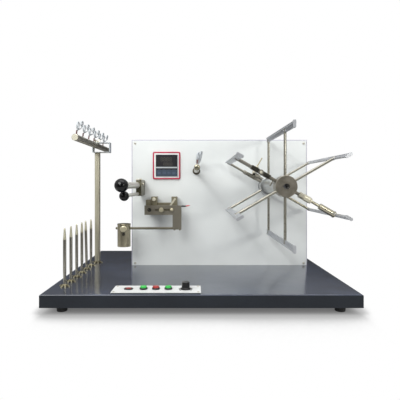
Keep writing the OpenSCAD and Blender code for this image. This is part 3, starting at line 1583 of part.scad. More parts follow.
// The nut that moves the bar out and in
module adjust_nut() {
  hex_len = nut_len * 0.38;
  color("#b9b6a8") on_reel() arm(adjust_angle, arm_front_y) difference() {
    union() {
      translate([nut_r, 0, 0]) rotate([0, 90, 0])
        cylinder(d = nut_d * 0.93, h = hex_len + 0.1, $fn = 6);
      bevel_x(nut_d / 2, nut_r + hex_len, nut_out - 4, 1.2);
      bevel_x(nut_d / 2 - 1, nut_out - 4.5, nut_out, 0.8);
    }
    rod_x(neck_r + fit, nut_r - eps, adjust_in - nut_space);
    rod_x(arm_r + fit, adjust_in - nut_space - adjust_travel - eps, nut_out + eps);
  }
}

base_deck();
base_plate();
rubber_feet();
case_screws();
cabinet_shell();
front_panel();
rear_cover();
power_inlet();
guide_post();
guide_bar();
bar_guides();
bobbin_pegs();
peg_feet();
counter_body();
counter_frame();
counter_window();
control_strip();
push_switches();
traverse_bushing();
tension_mount();
balance_carrier();
reel_flange();
reel_bearings();
drive_frame();
drive_motor();
drive_belt();
gearbox_case();
circuit_board();
power_supply();
reel_shaft();
reel_hubs();
hub_stubs();
reel_arms();
reel_bars();
driven_pulley();
fold_rods();
fold_block();
fold_bar();
clamp_screw();
adjust_rods();
adjust_bar();
adjust_nut();
traverse_rod();
rod_guides();
cam_yoke();
heart_cam();
cam_shaft();
motor_pulley();
tension_head();
tension_rods();
tension_balls();
balance_beam();
balance_pointer();
balance_cup();
setting_knob();
button_start();
button_stop();
button_reset();
power_rocker();
speed_knob();
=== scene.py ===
import json
import math

import bmesh
import bpy
from mathutils import Matrix, Vector


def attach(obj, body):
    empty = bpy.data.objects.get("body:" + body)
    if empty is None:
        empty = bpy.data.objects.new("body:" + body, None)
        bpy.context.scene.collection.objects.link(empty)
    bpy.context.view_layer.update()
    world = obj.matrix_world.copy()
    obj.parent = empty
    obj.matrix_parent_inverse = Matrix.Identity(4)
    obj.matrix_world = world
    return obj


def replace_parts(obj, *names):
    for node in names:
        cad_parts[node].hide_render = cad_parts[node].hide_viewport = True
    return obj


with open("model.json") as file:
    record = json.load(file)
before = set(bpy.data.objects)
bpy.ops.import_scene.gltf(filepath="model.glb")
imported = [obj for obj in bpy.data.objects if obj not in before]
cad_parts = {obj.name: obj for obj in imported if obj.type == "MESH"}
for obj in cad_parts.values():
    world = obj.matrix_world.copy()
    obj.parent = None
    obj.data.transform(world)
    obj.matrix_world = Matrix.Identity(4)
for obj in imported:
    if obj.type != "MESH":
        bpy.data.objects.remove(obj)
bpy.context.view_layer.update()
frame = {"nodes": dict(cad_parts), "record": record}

# The studio: a pale floor that runs out into a white surround, with soft lamps in front and above.
# The camera stands level in front of the reel, a little to the left of its middle.
scene = bpy.context.scene
scene.view_settings.view_transform = "Standard"


def linear(hex_colour):
    """A screen colour such as #8c857b as the linear light that a shader takes."""
    parts = [int(hex_colour[i:i + 2], 16) / 255 for i in (1, 3, 5)]
    return [c / 12.92 if c < 0.04045 else ((c + 0.055) / 1.055) ** 2.4 for c in parts] + [1.0]


camera = bpy.data.objects.new("camera", bpy.data.cameras.new("camera"))
scene.collection.objects.link(camera)
camera.location = (-0.0188, -1.3534, 0.3338)
camera.rotation_euler = (math.radians(90), 0, 0)
camera.data.sensor_width = 36
camera.data.lens = 36
camera.data.shift_x = 0.015
camera.data.shift_y = -0.03875
scene.camera = camera


def lamp(name, place, aim, size, watts, tint="#ffffff"):
    """A soft rectangular lamp that looks at a point of the object."""
    light = bpy.data.lights.new(name, "AREA")
    light.shape = "RECTANGLE"
    light.size, light.size_y = size
    light.energy = watts
    light.color = linear(tint)[:3]
    thing = bpy.data.objects.new(name, light)
    scene.collection.objects.link(thing)
    thing.location = place
    thing.rotation_euler = (Vector(aim) - Vector(place)).to_track_quat("-Z", "Y").to_euler()


panel_middle = (0.0, 0.05, 0.28)
lamp("left_lamp", (-1.1, -1.8, 1.7), panel_middle, size=(1.35, 1.25), watts=38, tint="#fdfffe")
lamp("right_lamp", (1.75, -2.3, 0.8), (0.1, 0.0, 0.3), size=(0.5, 0.5), watts=17, tint="#fffef9")
lamp("spark_lamp", (-0.55, -1.9, 1.05), panel_middle, size=(0.11, 0.11), watts=4)
lamp("top_lamp", (0.1, -0.6, 2.2), (0.1, 0.1, 0.1), size=(2.0, 1.2), watts=21)

# The surround: one even white wall for the camera, a dim room for matt faces, and for metal a room
# with a dark band at eye height, bright walls at its two ends and a bright upper half.


def emptied(owner):
    """The cleared node tree of a world or a material."""
    owner.use_nodes = True
    owner.node_tree.nodes.clear()
    return owner.node_tree


def fed(web, kind, *sources):
    """A new node whose first sockets are fed from the sources."""
    node = web.nodes.new(kind)
    for source, socket in zip(sources, node.inputs):
        web.links.new(source, socket)
    return node


def axes(web, kind):
    """The X, Y and Z of a texture coordinate."""
    spot = web.nodes.new("ShaderNodeTexCoord").outputs[kind]
    return fed(web, "ShaderNodeSeparateXYZ", spot).outputs


def worked_out(web, operation, *sources):
    """The result of a sum on one value or two."""
    step = fed(web, "ShaderNodeMath", *sources)
    step.operation = operation
    return step.outputs[0]


def ranged(web, source, low, high, top=1.0):
    """A value from low to high, spread evenly from 0 to top."""
    spread = fed(web, "ShaderNodeMapRange", source)
    spread.inputs["From Min"].default_value = low
    spread.inputs["From Max"].default_value = high
    spread.inputs["To Max"].default_value = top
    return spread.outputs[0]


def greys(web, source, stops, blue=1.0):
    """Grey levels at stops along a value."""
    ramp = fed(web, "ShaderNodeValToRGB", source)
    marks = ramp.color_ramp.elements
    while len(marks) < len(stops):
        marks.new(0.5)
    for mark, (spot, level) in zip(marks, stops):
        mark.position = spot
        mark.color = (level, level, level * blue, 1)
    return ramp.outputs["Color"]


def ray_kinds(web):
    """The camera's own rays, and the rays that metal and glass send on."""
    path = web.nodes.new("ShaderNodeLightPath").outputs
    shiny = worked_out(web, "MAXIMUM", path["Is Glossy Ray"], path["Is Transmission Ray"])
    return path["Is Camera Ray"], shiny


world = bpy.data.worlds.new("studio")
scene.world = world
web = emptied(world)
axis = axes(web, "Generated")
height = ranged(web, axis["Z"], -1, 1)
cool = 1.01
room = greys(web, height, ((0.0, 0.34), (0.49, 0.3), (0.56, 0.3), (0.8, 0.44), (1.0, 0.5)), cool)
mirror = greys(web, height, ((0.0, 0.16), (0.47, 0.12), (0.5, 0.05), (0.6, 0.08), (0.7, 0.45),
                             (0.82, 1.0)), cool)
wall_from, wall_full, wall_light = 0.62, 0.95, 0.5
walls = ranged(web, worked_out(web, "ABSOLUTE", axis["X"]), wall_from, wall_full, wall_light)
first_colour, second_colour, mixed_colour = 6, 7, 2
lit = web.nodes.new("ShaderNodeMix")
lit.data_type = "RGBA"
lit.blend_type = "ADD"
lit.inputs["Factor"].default_value = 1.0
web.links.new(mirror, lit.inputs[first_colour])
web.links.new(walls, lit.inputs[second_colour])
soft = fed(web, "ShaderNodeBackground", room)
seen = fed(web, "ShaderNodeBackground", lit.outputs[mixed_colour])
white = web.nodes.new("ShaderNodeBackground")
white.inputs["Color"].default_value = (1, 1, 1, 1)
straight, shiny = ray_kinds(web)
inner = fed(web, "ShaderNodeMixShader", shiny, soft.outputs[0], seen.outputs[0])
outer = fed(web, "ShaderNodeMixShader", straight, inner.outputs[0], white.outputs[0])
fed(web, "ShaderNodeOutputWorld", outer.outputs[0])

# The floor: a round sheet of matt paper. It shows white, and darker only where the object shades
# it. That shade fades quickly past the left and right ends of the base.
mesh = bpy.data.meshes.new("floor")
bm = bmesh.new()
bmesh.ops.create_circle(bm, cap_ends=True, segments=96, radius=1.05)
bm.to_mesh(mesh)
bm.free()
floor = bpy.data.objects.new("floor", mesh)
scene.collection.objects.link(floor)
paper = bpy.data.materials.new("studio_paper")
web = emptied(paper)
near = web.nodes.new("ShaderNodeAmbientOcclusion")
near.samples = 24
near.inputs["Distance"].default_value = 0.4
end_from, end_full, end_light = 0.41, 0.5, 0.35
past_end = ranged(web, worked_out(web, "ABSOLUTE", axes(web, "Object")["X"]), end_from, end_full,
                  end_light)
open_air = worked_out(web, "ADD", near.outputs["AO"], past_end)
glow = fed(web, "ShaderNodeEmission",
           greys(web, open_air, ((0.0, 0.12), (0.22, 0.3), (0.7, 0.56), (0.87, 0.86), (0.91, 1.0))))
matt = web.nodes.new("ShaderNodeBsdfDiffuse")
matt.inputs["Color"].default_value = (0.8, 0.8, 0.8, 1)
both = fed(web, "ShaderNodeMixShader", worked_out(web, "MAXIMUM", *ray_kinds(web)),
           matt.outputs[0], glow.outputs[0])
fed(web, "ShaderNodeOutputMaterial", both.outputs[0])
floor.data.materials.append(paper)

# The base: a folded sheet deck with a deep skirt, sprayed with a glossy dark slate enamel.
# A zinc-plated plate closes it from below, held by screws, with four rubber feet bolted through it.


def finish(name, light, dark, rough, metal=0.0, patch=30.0, stretch=(1, 1, 1), bump=0.02,
           fine=900.0, spread=0.08, coat=0.0, depth=0.0002, gloss=0.5):
    """A surface with soft patches between two colours and a fine grain in its gloss and relief."""
    coat_rough, least_rough = 0.12, 0.02
    all_dark, all_light = 0.32, 0.68
    patch_detail, grain_detail = 5, 3
    material = bpy.data.materials.new(name)
    material.use_nodes = True
    web = material.node_tree
    skin = web.nodes["Principled BSDF"]
    skin.inputs["Metallic"].default_value = metal
    skin.inputs["Coat Weight"].default_value = coat
    skin.inputs["Coat Roughness"].default_value = coat_rough
    skin.inputs["Specular IOR Level"].default_value = gloss
    place = fed(web, "ShaderNodeMapping", web.nodes.new("ShaderNodeTexCoord").outputs["Object"])
    place.inputs["Scale"].default_value = stretch
    cloud = fed(web, "ShaderNodeTexNoise", place.outputs[0])
    cloud.inputs["Scale"].default_value = patch
    cloud.inputs["Detail"].default_value = patch_detail
    blend = fed(web, "ShaderNodeValToRGB", cloud.outputs["Fac"])
    for mark, spot, colour in zip(blend.color_ramp.elements, (all_dark, all_light), (dark, light)):
        mark.position = spot
        mark.color = linear(colour)
    grain = fed(web, "ShaderNodeTexNoise", place.outputs[0])
    grain.inputs["Scale"].default_value = fine
    grain.inputs["Detail"].default_value = grain_detail
    sheen = fed(web, "ShaderNodeMapRange", grain.outputs["Fac"])
    sheen.inputs["To Min"].default_value = max(least_rough, rough - spread)
    sheen.inputs["To Max"].default_value = min(1.0, rough + spread)
    relief = web.nodes.new("ShaderNodeBump")
    relief.inputs["Strength"].default_value = bump
    relief.inputs["Distance"].default_value = depth
    web.links.new(grain.outputs["Fac"], relief.inputs["Height"])
    web.links.new(blend.outputs["Color"], skin.inputs["Base Color"])
    web.links.new(sheen.outputs[0], skin.inputs["Roughness"])
    web.links.new(relief.outputs[0], skin.inputs["Normal"])
    return material


def made(name, bm, material, body, smooth=35, bevel=0.0):
    """A finished piece from a bmesh: smooth faces, crisp edges and, if asked, broken edges."""
    bmesh.ops.remove_doubles(bm, verts=bm.verts, dist=1e-6)
    for face in bm.faces:
        face.smooth = True
    limit = math.radians(smooth)
    for edge in bm.edges:
        edge.smooth = len(edge.link_faces) == 2 and edge.calc_face_angle(0) < limit
    shape = bpy.data.meshes.new(name)
    bm.to_mesh(shape)
    bm.free()
    piece = bpy.data.objects.new(name, shape)
    scene.collection.objects.link(piece)
    shape.materials.append(material)
    if bevel:
        edge_break = piece.modifiers.new("broken_edges", "BEVEL")
        edge_break.width = bevel
        edge_break.segments = 2
        edge_break.limit_method = "ANGLE"
        edge_break.angle_limit = limit
        edge_break.harden_normals = True
    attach(piece, body)
    return piece


bodies = frame["record"]["behaviour"]["bodies"]
node_body = {node: body for body, nodes in bodies.items() for node in nodes}
node_slot = {part["node"]: part["material_slot"] for part in frame["record"]["subparts"]}


def dressed(node, material, bevel=0.0003):
    """The CAD piece itself with clean faces and broken edges, in its real finish."""
    bm = bmesh.new()
    bm.from_mesh(frame["nodes"][node].data)
    bmesh.ops.remove_doubles(bm, verts=bm.verts, dist=2e-6)
    bmesh.ops.dissolve_limit(bm, angle_limit=math.radians(0.4), verts=bm.verts, edges=bm.edges)
    piece = made(node + "_piece", bm, material, node_body[node], bevel=bevel)
    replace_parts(piece, node)
    return piece


def second_skin(piece, material, wanted):
    """Give the faces that pass a test a further material."""
    piece.data.materials.append(material)
    for face in piece.data.polygons:
        if wanted(face):
            face.material_index = len(piece.data.materials) - 1


slate_enamel = finish("slate_enamel", "#323c52", "#1f2635", 0.16, patch=9, bump=0.5, fine=30,
                      spread=0.07, coat=0.6, depth=0.0007)
skirt_painted_shade = finish("skirt_painted_shade", "#1f2329", "#1a1d22", 0.4, patch=9, bump=0.05, fine=420,
                      spread=0.05, gloss=0.2)
# The skirt and the deck's other steep faces take a darker, duller copy of the same enamel, as
# painted shade.
halfway = 0.5
second_skin(dressed("base_deck", slate_enamel, 0.0004), skirt_painted_shade,
            lambda face: face.normal.z < halfway)
zinc_plate = finish("zinc_plate", "#a5a8aa", "#84878a", 0.38, 1.0, patch=60, bump=0.03, fine=300)
dressed("base_plate", zinc_plate, 0.0002)
foot_rubber = finish("foot_rubber", "#1b1b1c", "#111112", 0.62, patch=90, bump=0.2, fine=1600)
dressed("rubber_feet", foot_rubber, 0.0005)
screw_steel = finish("screw_steel", "#c9c6bc", "#aaa69b", 0.4, 0.7, patch=300)
dressed("case_screws", screw_steel, 0.0001)

# The cabinet: a wrapped steel shell with welded flanges, a screwed front panel in white enamel
# whose broken edges are grey, partly its bare cut edge and partly painted shade at its rim, and a
# louvred cover behind with a moulded mains inlet.
lilac_enamel = finish("lilac_enamel", "#bfbec9", "#bab9c5", 0.42, patch=12, bump=0.04, fine=500)
dressed("cabinet_shell", lilac_enamel, 0.0005)
dressed("rear_cover", lilac_enamel, 0.0004)
white_enamel = finish("white_enamel", "#dfe2e1", "#d8dbda", 0.3, patch=7, bump=0.04, fine=700,
                      spread=0.04)
panel = dressed("front_panel", white_enamel, 0.0011)
# The panel's broken edges are grey: partly the bare cut edge, partly painted shade in the gap at
# the panel's rim.
rim_grey_and_shade = finish("rim_grey_and_shade", "#7d8083", "#6f7275", 0.45, patch=60)
panel.data.materials.append(rim_grey_and_shade)
panel.modifiers["broken_edges"].material = len(panel.data.materials) - 1
black_moulding = finish("black_moulding", "#232427", "#18191b", 0.45, patch=50, bump=0.15,
                        fine=1800)
dressed("power_inlet", black_moulding)

# The yarn supply: six turned pegs on cross feet, and the square post whose welded strip loop
# carries the guide bar. All of it is plated with a warm nickel, the feet with yellow zinc.
peg_nickel = finish("peg_nickel", "#97948a", "#85827a", 0.28, 1.0, patch=30, stretch=(14, 14, 1),
                    bump=0.01, fine=160, spread=0.04)
tip_nickel = finish("tip_nickel", "#b9b59f", "#aaa691", 0.4, 0.6, patch=60, bump=0.01)
tip_from, tip_slope = 0.16, 0.02
second_skin(dressed("bobbin_pegs", peg_nickel, 0.0002), tip_nickel,
            lambda face: face.center.z > tip_from and face.normal.z > tip_slope)
yellow_zinc = finish("yellow_zinc", "#cdc6aa", "#b8b092", 0.32, 0.8, patch=80)
zinc_side_shade = finish("zinc_side_shade", "#6d6752", "#5a5543", 0.45, 0.6, patch=80)
# The feet's sides take a darker copy of the yellow zinc, as painted shade.
least_side = 4e-6
second_skin(dressed("peg_feet", yellow_zinc), zinc_side_shade,
            lambda face: abs(face.normal.z) < halfway and face.area > least_side)
post_nickel = finish("post_nickel", "#bcb7a3", "#aca793", 0.42, 0.65, patch=12,
                     stretch=(10, 10, 1), bump=0.01, fine=160)
loop_zinc = finish("loop_zinc", "#bfc5c8", "#b6bcc0", 0.5, 0.15, patch=12, bump=0.0, fine=300)
loop_from = 0.4576
second_skin(dressed("guide_post", post_nickel, 0.0004), loop_zinc,
            lambda face: face.center.z > loop_from)
bar_nickel = finish("bar_nickel", "#b0ac9d", "#a7a394", 0.3, 0.85, patch=8, bump=0.0, fine=160,
                    spread=0.03)
bar_end = finish("bar_end", "#c4c0ae", "#bbb7a5", 0.7, patch=10, bump=0.0, fine=300)
squarely = 0.9
second_skin(dressed("guide_bar", bar_nickel), bar_end, lambda face: face.normal.y < -squarely)

# The guide eyes: polished wire wound nearly two turns, so that a yarn slips in from the side.
# Each wire grows out of a short brown sleeve that stands on a pale washer.
deck_front, deck_top = -0.3315, 0.052
base_frame = Matrix.Translation((0, deck_front, deck_top))


def turned(bm, way, outline, segments=28):
    """A body of revolution round the way's Z axis from (radius, height) pairs."""
    row = [bm.verts.new(way @ Vector((radius, 0, height))) for radius, height in outline]
    edges = [bm.edges.new(pair) for pair in zip(row, row[1:])]
    bmesh.ops.spin(bm, geom=row + edges, cent=way.translation,
                   axis=way.to_3x3() @ Vector((0, 0, 1)), angle=math.tau, steps=segments,
                   use_merge=True, use_duplicate=False)
    bmesh.ops.remove_doubles(bm, verts=bm.verts, dist=1e-7)
    bmesh.ops.recalc_face_normals(bm, faces=bm.faces)


wire_r, wire_sides = 0.0021, 12


def eye_wire(bm, place, coil_r, pitch):
    """One wire: a bend out of its sleeve, two rising loops side by side and a round tip."""
    bend_r, bend_steps, rise_steps = 0.003, 6, 9
    back, climb, shrink = 0.0042, 0.009, 0.2
    coil_turn, coil_steps = 600, 60
    quarter = math.radians(90)
    before = set(bm.verts)
    ring = bmesh.ops.create_circle(bm, segments=wire_sides, radius=wire_r, cap_ends=False,
                                   matrix=Matrix.Translation((0, 0, -bend_r)))["verts"]
    bend = bmesh.ops.spin(bm, geom=ring + list({e for v in ring for e in v.link_edges}),
                          cent=(0, bend_r, -bend_r), axis=(-1, 0, 0), angle=quarter,
                          steps=bend_steps)
    rise = bmesh.ops.spin(bm, geom=bend["geom_last"], cent=(0, bend_r, coil_r), axis=(1, 0, 0),
                          angle=quarter, steps=rise_steps, dvec=(-back / rise_steps, 0, 0))
    coil = bmesh.ops.spin(bm, geom=rise["geom_last"], cent=(-back, bend_r, coil_r),
                          axis=(1, 0, 0), angle=math.radians(coil_turn), steps=coil_steps,
                          dvec=(pitch * coil_turn / 360 / coil_steps, 0, 0))
    tip = [part.co for part in coil["geom_last"] if isinstance(part, bmesh.types.BMVert)]
    bmesh.ops.create_uvsphere(bm, u_segments=wire_sides, v_segments=8, radius=wire_r,
                              matrix=Matrix.Translation(sum(tip, Vector()) / len(tip)))
    for vert in set(bm.verts) - before:
        along = max(0.0, vert.co.x) / pitch
        vert.co.z = vert.co.z * (1 - shrink * along) + climb * along
        vert.co = place @ vert.co


def guide_eyes(name, node, first, step, turn, coil_r, pitch):
    """Six guide eyes in a row: bright wires, brown sleeves and pale washers."""
    sleeve_lean, wire_lean, sleeve_top = 6, 5, 0.0136
    washer = ((0.0, 0.0), (0.004, 0.0), (0.004, 0.0011), (0.0034, 0.0016), (0.0, 0.0016))
    sleeve = ((0.0, 0.001), (0.0021, 0.001), (0.0021, 0.0125), (0.0017, sleeve_top), (0.0, 0.0137))
    wires, sleeves, washers = bmesh.new(), bmesh.new(), bmesh.new()
    x, y, z = first
    for i in range(6):
        stand = base_frame @ Matrix.Translation((x, y + step * i, z))
        lean = stand @ Matrix.Rotation(math.radians(sleeve_lean), 4, "Y")
        top = (lean @ Matrix.Translation((0, 0, sleeve_top))
               @ Matrix.Rotation(math.radians(turn), 4, "Z")
               @ Matrix.Rotation(math.radians(wire_lean), 4, "Y"))
        eye_wire(wires, top, coil_r, pitch)
        turned(washers, stand, washer)
        turned(sleeves, lean, sleeve, segments=20)
    bmesh.ops.remove_doubles(wires, verts=wires.verts, dist=1e-6)
    bmesh.ops.holes_fill(wires, edges=[e for e in wires.edges if e.is_boundary], sides=wire_sides)
    bmesh.ops.recalc_face_normals(wires, faces=wires.faces)
    body, slot = node_body[node], node_slot[node]
    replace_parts(made(name + "_wires", wires, wire_silver, body, smooth=60), node)
    made(name + "_sleeves", sleeves, sleeve_brown, body)
    made(name + "_washers", washers, washer_nickel, body)


wire_silver = finish("wire_silver", "#c3c8cb", "#b8bdc1", 0.5, 0.1, patch=100, bump=0.0, gloss=0.3)
sleeve_brown = finish("sleeve_brown", "#6b4440", "#4d302e", 0.5, patch=300, bump=0.05)
washer_nickel = finish("washer_nickel", "#d9dad6", "#c3c4c0", 0.3, 0.9, patch=300)
guide_eyes("bar_eyes", "bar_guides", first=(-0.368, 0.166, 0.4305), step=0.0686, turn=-10,
           coil_r=0.0118, pitch=0.0118)
guide_eyes("rod_eyes", "rod_guides", first=(-0.0105, 0.081, 0.33725), step=0.053, turn=-27,
           coil_r=0.0094, pitch=0.0079)

# The counter: a white moulded housing with a raised bezel, clipped into the panel behind a crimson
# frame. Behind its smoked window are two rows of four digits, with a row of flat keys below.
ivory_plastic = finish("ivory_plastic", "#e8e9e6", "#dcdddb", 0.42, patch=60, bump=0.1, fine=1800)
dressed("counter_body", ivory_plastic, 0.0006)
crimson_plastic = finish("crimson_plastic", "#bb3450", "#a92742", 0.3, patch=60, bump=0.03,
                         fine=1500)
dressed("counter_frame", crimson_plastic, 0.0008)
smoked_window = finish("smoked_window", "#2c2c2e", "#252528", 0.2, patch=60, gloss=0.3)
dressed("counter_window", smoked_window, 0.0002)
mm_in_m = 1000
window_left, window_face, window_top = -0.152, 0.3729, 0.3855


def plate(bm, left, top, right, bottom, proud, thick, round_off=0.0):
    """A flat rectangle on the window's face, in millimetres from the window's upper left corner."""
    middle = base_frame @ Vector((window_left + (left + right) / 2 / mm_in_m,
                                  window_face - (proud + thick / 2) / mm_in_m,
                                  window_top - (top + bottom) / 2 / mm_in_m))
    size = Matrix.Diagonal(((right - left) / mm_in_m, thick / mm_in_m, (bottom - top) / mm_in_m, 1))
    box = bmesh.ops.create_cube(bm, size=1, matrix=Matrix.Translation(middle) @ size)["verts"]
    if round_off:
        edges = {e for v in box for e in v.link_edges
                 if abs((e.verts[0].co - e.verts[1].co).normalized().y) > squarely}
        bmesh.ops.bevel(bm, geom=list(edges), offset=round_off / mm_in_m, offset_type="OFFSET",
                        segments=4, profile=0.5, affect="EDGES", material=-1)


def window_piece(name, material, plates, bevel=0.0):
    """One piece of flat plates on the window's face or round it."""
    bm = bmesh.new()
    for sizes in plates:
        plate(bm, *sizes)
    made(name, bm, material, "stand", bevel=bevel)


display_black = finish("display_black", "#27262a", "#201f22", 0.3, patch=60, bump=0.01, gloss=0.35)
window_piece("display_glass", display_black,
             [(0.6, 0.6, 74.4, 41.6, 0.0, 0.35, 0.8)], 0.0001)
digit_proud, digit_thick = 0.35, 0.08
digit_width, digit_step, bar_width = 0.52, 1.5, 0.1
lying_gap, standing_gap = 1.15, 0.65
bars = []
for row_left, row_top, tall in ((17.0, 9.5, 13.0), (27.0, 27.5, 10.5)):
    wide, bar = tall * digit_width, tall * bar_width
    for i in range(4):
        left = row_left + i * wide * digit_step
        for level in (0.0, 0.5, 1.0):
            bars.append((left + bar * lying_gap, row_top + level * tall - bar / 2,
                         left + wide - bar * lying_gap, row_top + level * tall + bar / 2,
                         digit_proud, digit_thick))
        for side in (0.0, 1.0):
            for half in (0.0, 0.5):
                bars.append((left + side * wide - bar / 2,
                             row_top + half * tall + bar * standing_gap,
                             left + side * wide + bar / 2,
                             row_top + (half + 0.5) * tall - bar * standing_gap,
                             digit_proud, digit_thick))
digit_amber = finish("digit_amber", "#57544a", "#4d4a42", 0.4, patch=60, bump=0.01)
window_piece("display_digits", digit_amber, bars)
label_grey = finish("label_grey", "#b4babd", "#a9afb3", 0.4, patch=80)
window_piece("window_strip", label_grey,
             [(0.6, 42.2, 74.4, 46.8, 0.0, 0.5, 0.5)], 0.00012)
band_dark = finish("band_dark", "#1d2024", "#181a1e", 0.4, patch=80)
window_piece("key_band", band_dark,
             [(0.6, 47.2, 74.4, 53.4, 0.0, 0.3, 0.5)], 0.0001)
key_places = [17.2 * i for i in range(4)]
tabs = [(5 + key, 51.4, 18 + key, 56, 0.3, 0.15, 2.2) for key in key_places]
keypad_blue = finish("keypad_blue", "#364354", "#2f3b4b", 0.42, patch=80, bump=0.03)
window_piece("keypad", keypad_blue,
             [(0.6, 53.6, 74.4, 74.4, 0.0, 0.35, 0.8)] + tabs, 0.0001)
key_blue = finish("key_blue", "#435064", "#3a475a", 0.42, patch=80, bump=0.03)
window_piece("keys", key_blue,
             [(6.5 + key, 59, 17 + key, 68, 0.35, 0.35, 1.6) for key in key_places], 0.00015)
# Grey strips along the right and lower inner edges of the bezel: painted shade on its inner slopes.
bezel_painted_shade = finish("bezel_painted_shade", "#a3a6a9", "#989b9e", 0.45, patch=80)
window_piece("bezel_painted_shade", bezel_painted_shade,
             [(75.3, 0.0, 78.6, 78.2, 0.0, 0.6, 0.6), (0.0, 75.3, 75.1, 77.6, 0.0, 0.6, 0.6)],
             0.0001)

# The controls: a strip of white enamelled sheet screwed to the deck, with a rocker switch, three
# push buttons with moulded caps, and the speed knob over its printed dial.
strip_enamel = finish("strip_enamel", "#e3e4e3", "#dadbda", 0.38, patch=20, bump=0.03, fine=800)
# The strip's front face is dark grey: painted shade along the white sheet's front edge.
strip_front_shade = finish("strip_front_shade", "#4b5055", "#3f4448", 0.4, patch=60, bump=0.03)
mostly = 0.7
second_skin(dressed("control_strip", strip_enamel), strip_front_shade,
            lambda face: face.normal.y < -mostly)
dressed("push_switches", black_moulding)
green_cap = finish("green_cap", "#2fbf4a", "#26a83f", 0.3, patch=80, bump=0.03, coat=0.3)
dressed("button_start", green_cap, 0.0004)
dressed("button_reset", green_cap, 0.0004)
red_cap = finish("red_cap", "#a82c29", "#8f2220", 0.3, patch=80, bump=0.03, coat=0.3)
dressed("button_stop", red_cap, 0.0004)
dressed("power_rocker", red_cap)
knob_black = finish("knob_black", "#0d0d0e", "#09090a", 0.3, patch=80, bump=0.03, gloss=0.35)
# The knob's flat top is a lighter grey than its black sides: a painted sheen, where it mirrors the
# bright sky.
knob_top_sheen = finish("knob_top_sheen", "#3c3c3b", "#323231", 0.4, patch=80, bump=0.03, gloss=0.3)
knob_top_from = 0.07
second_skin(dressed("speed_knob", knob_black), knob_top_sheen,
            lambda face: face.normal.z > squarely and face.center.z > knob_top_from)
knob_axis = base_frame @ Matrix.Translation((-0.041, 0.0423, 0.0036))
ring_in, ring_out, tick_out = 0.0152, 0.0176, 0.021
ring_start, ring_sweep, tick_sweep, sweep_step = 135, 270, 5, 4
ring = (ring_start, ring_sweep, ring_in, ring_out)
ticks = [(start, tick_sweep, ring_out, tick_out) for start in (135, 70, 2, -64, -130)]
bm = bmesh.new()
for start, sweep, inside, outside in [ring] + ticks:
    way = knob_axis @ Matrix.Rotation(math.radians(start), 4, "Z")
    ends = [bm.verts.new(way @ Vector((0, radius, 0))) for radius in (inside, outside)]
    bmesh.ops.spin(bm, geom=ends + [bm.edges.new(ends)], cent=knob_axis.translation,
                   axis=(0, 0, -1), angle=math.radians(sweep),
                   steps=max(2, round(sweep / sweep_step)))
print_grey = finish("print_grey", "#322e2b", "#282523", 0.5, patch=80, bump=0.01)
dial = made("speed_dial", bm, print_grey, "stand")
ink = dial.modifiers.new("ink", "SOLIDIFY")
ink.thickness = 0.0003
ink.offset = 0
pointer_turn = 112
top_mark = ((0, 0.0072, 0.0197), (0.0015, 0.0058, 0.0006))
side_mark = ((0, 0.0103, 0.0124), (0.0015, 0.0006, 0.0138))
pointer = knob_axis @ Matrix.Rotation(math.radians(pointer_turn), 4, "Z")
bm = bmesh.new()
for place, size in (top_mark, side_mark):
    bmesh.ops.create_cube(bm, size=1, matrix=pointer @ Matrix.Translation(place)
                          @ Matrix.Diagonal((*size, 1)))
bmesh.ops.bevel(bm, geom=list(bm.edges), offset=0.00015, offset_type="OFFSET", segments=2,
                profile=0.5, affect="EDGES", material=-1)
mark_white = finish("mark_white", "#aeada9", "#a3a29e", 0.45, patch=80, bump=0.01)
made("knob_mark", bm, mark_white, node_body["speed_knob"])

# The traverse: a round rod that slides through a flanged bushing, with six guide eyes on top.
# Inside the cabinet a heart cam drives its yoke through two rollers.
rod_nickel = finish("rod_nickel", "#a9a490", "#87826f", 0.26, 1.0, patch=25, stretch=(10, 1, 10),
                    bump=0.03, fine=160)
dressed("traverse_rod", rod_nickel, 0.0002)
oiled_steel = finish("oiled_steel", "#7d7766", "#5b5648", 0.36, 1.0, patch=70, bump=0.05)
dressed("traverse_bushing", oiled_steel)
machined_steel = finish("machined_steel", "#8f9092", "#6f7072", 0.32, 1.0, patch=70, bump=0.04)
for node in ("cam_yoke", "heart_cam", "cam_shaft"):
    dressed(node, machined_steel, 0.0002)

# The tension head: a milled steel block that swings on a mount on the panel, with bright thumb
# pins in it. Two plated rods are set into its face, each with a polished black ball on its end.
dressed("tension_mount", oiled_steel)
olive_steel = finish("olive_steel", "#8a8571", "#5f5b4b", 0.34, 1.0, patch=45, bump=0.06, fine=500)
bright_nickel = finish("bright_nickel", "#dad5c2", "#c9c4b0", 0.36, 0.5, patch=60, bump=0.01)
block_top, block_right = 0.3488, -0.1895
second_skin(dressed("tension_head", olive_steel, 0.0004), bright_nickel,
            lambda face: face.center.z > block_top or face.center.x > block_right)
rod_silver = finish("rod_silver", "#d3d2cb", "#c8c7c0", 0.36, 0.6, patch=6, stretch=(10, 1, 10),
                    bump=0.01, fine=160, spread=0.04)
dressed("tension_rods", rod_silver)
ball_black = finish("ball_black", "#050506", "#030304", 0.06, patch=60, bump=0.0, gloss=0.27,
                    spread=0.01)
dressed("tension_balls", ball_black, bevel=0)

# The balance: an L-shaped steel beam that tilts on a pivot, on a khaki-plated carrier bolted to the
# panel. The beam carries a red needle in a black tube, a setting knob in its slot, and a rod on
# which the counterweight cup slides.
carrier_khaki = finish("carrier_khaki", "#8b856f", "#787260", 0.42, 0.7, patch=30, bump=0.03,
                       fine=500)
dark_boss_and_bore_shade = finish("dark_boss_and_bore_shade", "#37342c", "#2b2923", 0.45, 0.4, patch=60)
carrier = dressed("balance_carrier", carrier_khaki, 0.0004)
thumb_front, thumb_from = -0.0058, 0.262
second_skin(carrier, bright_nickel,
            lambda face: face.center.y < thumb_front and face.center.z > thumb_from)
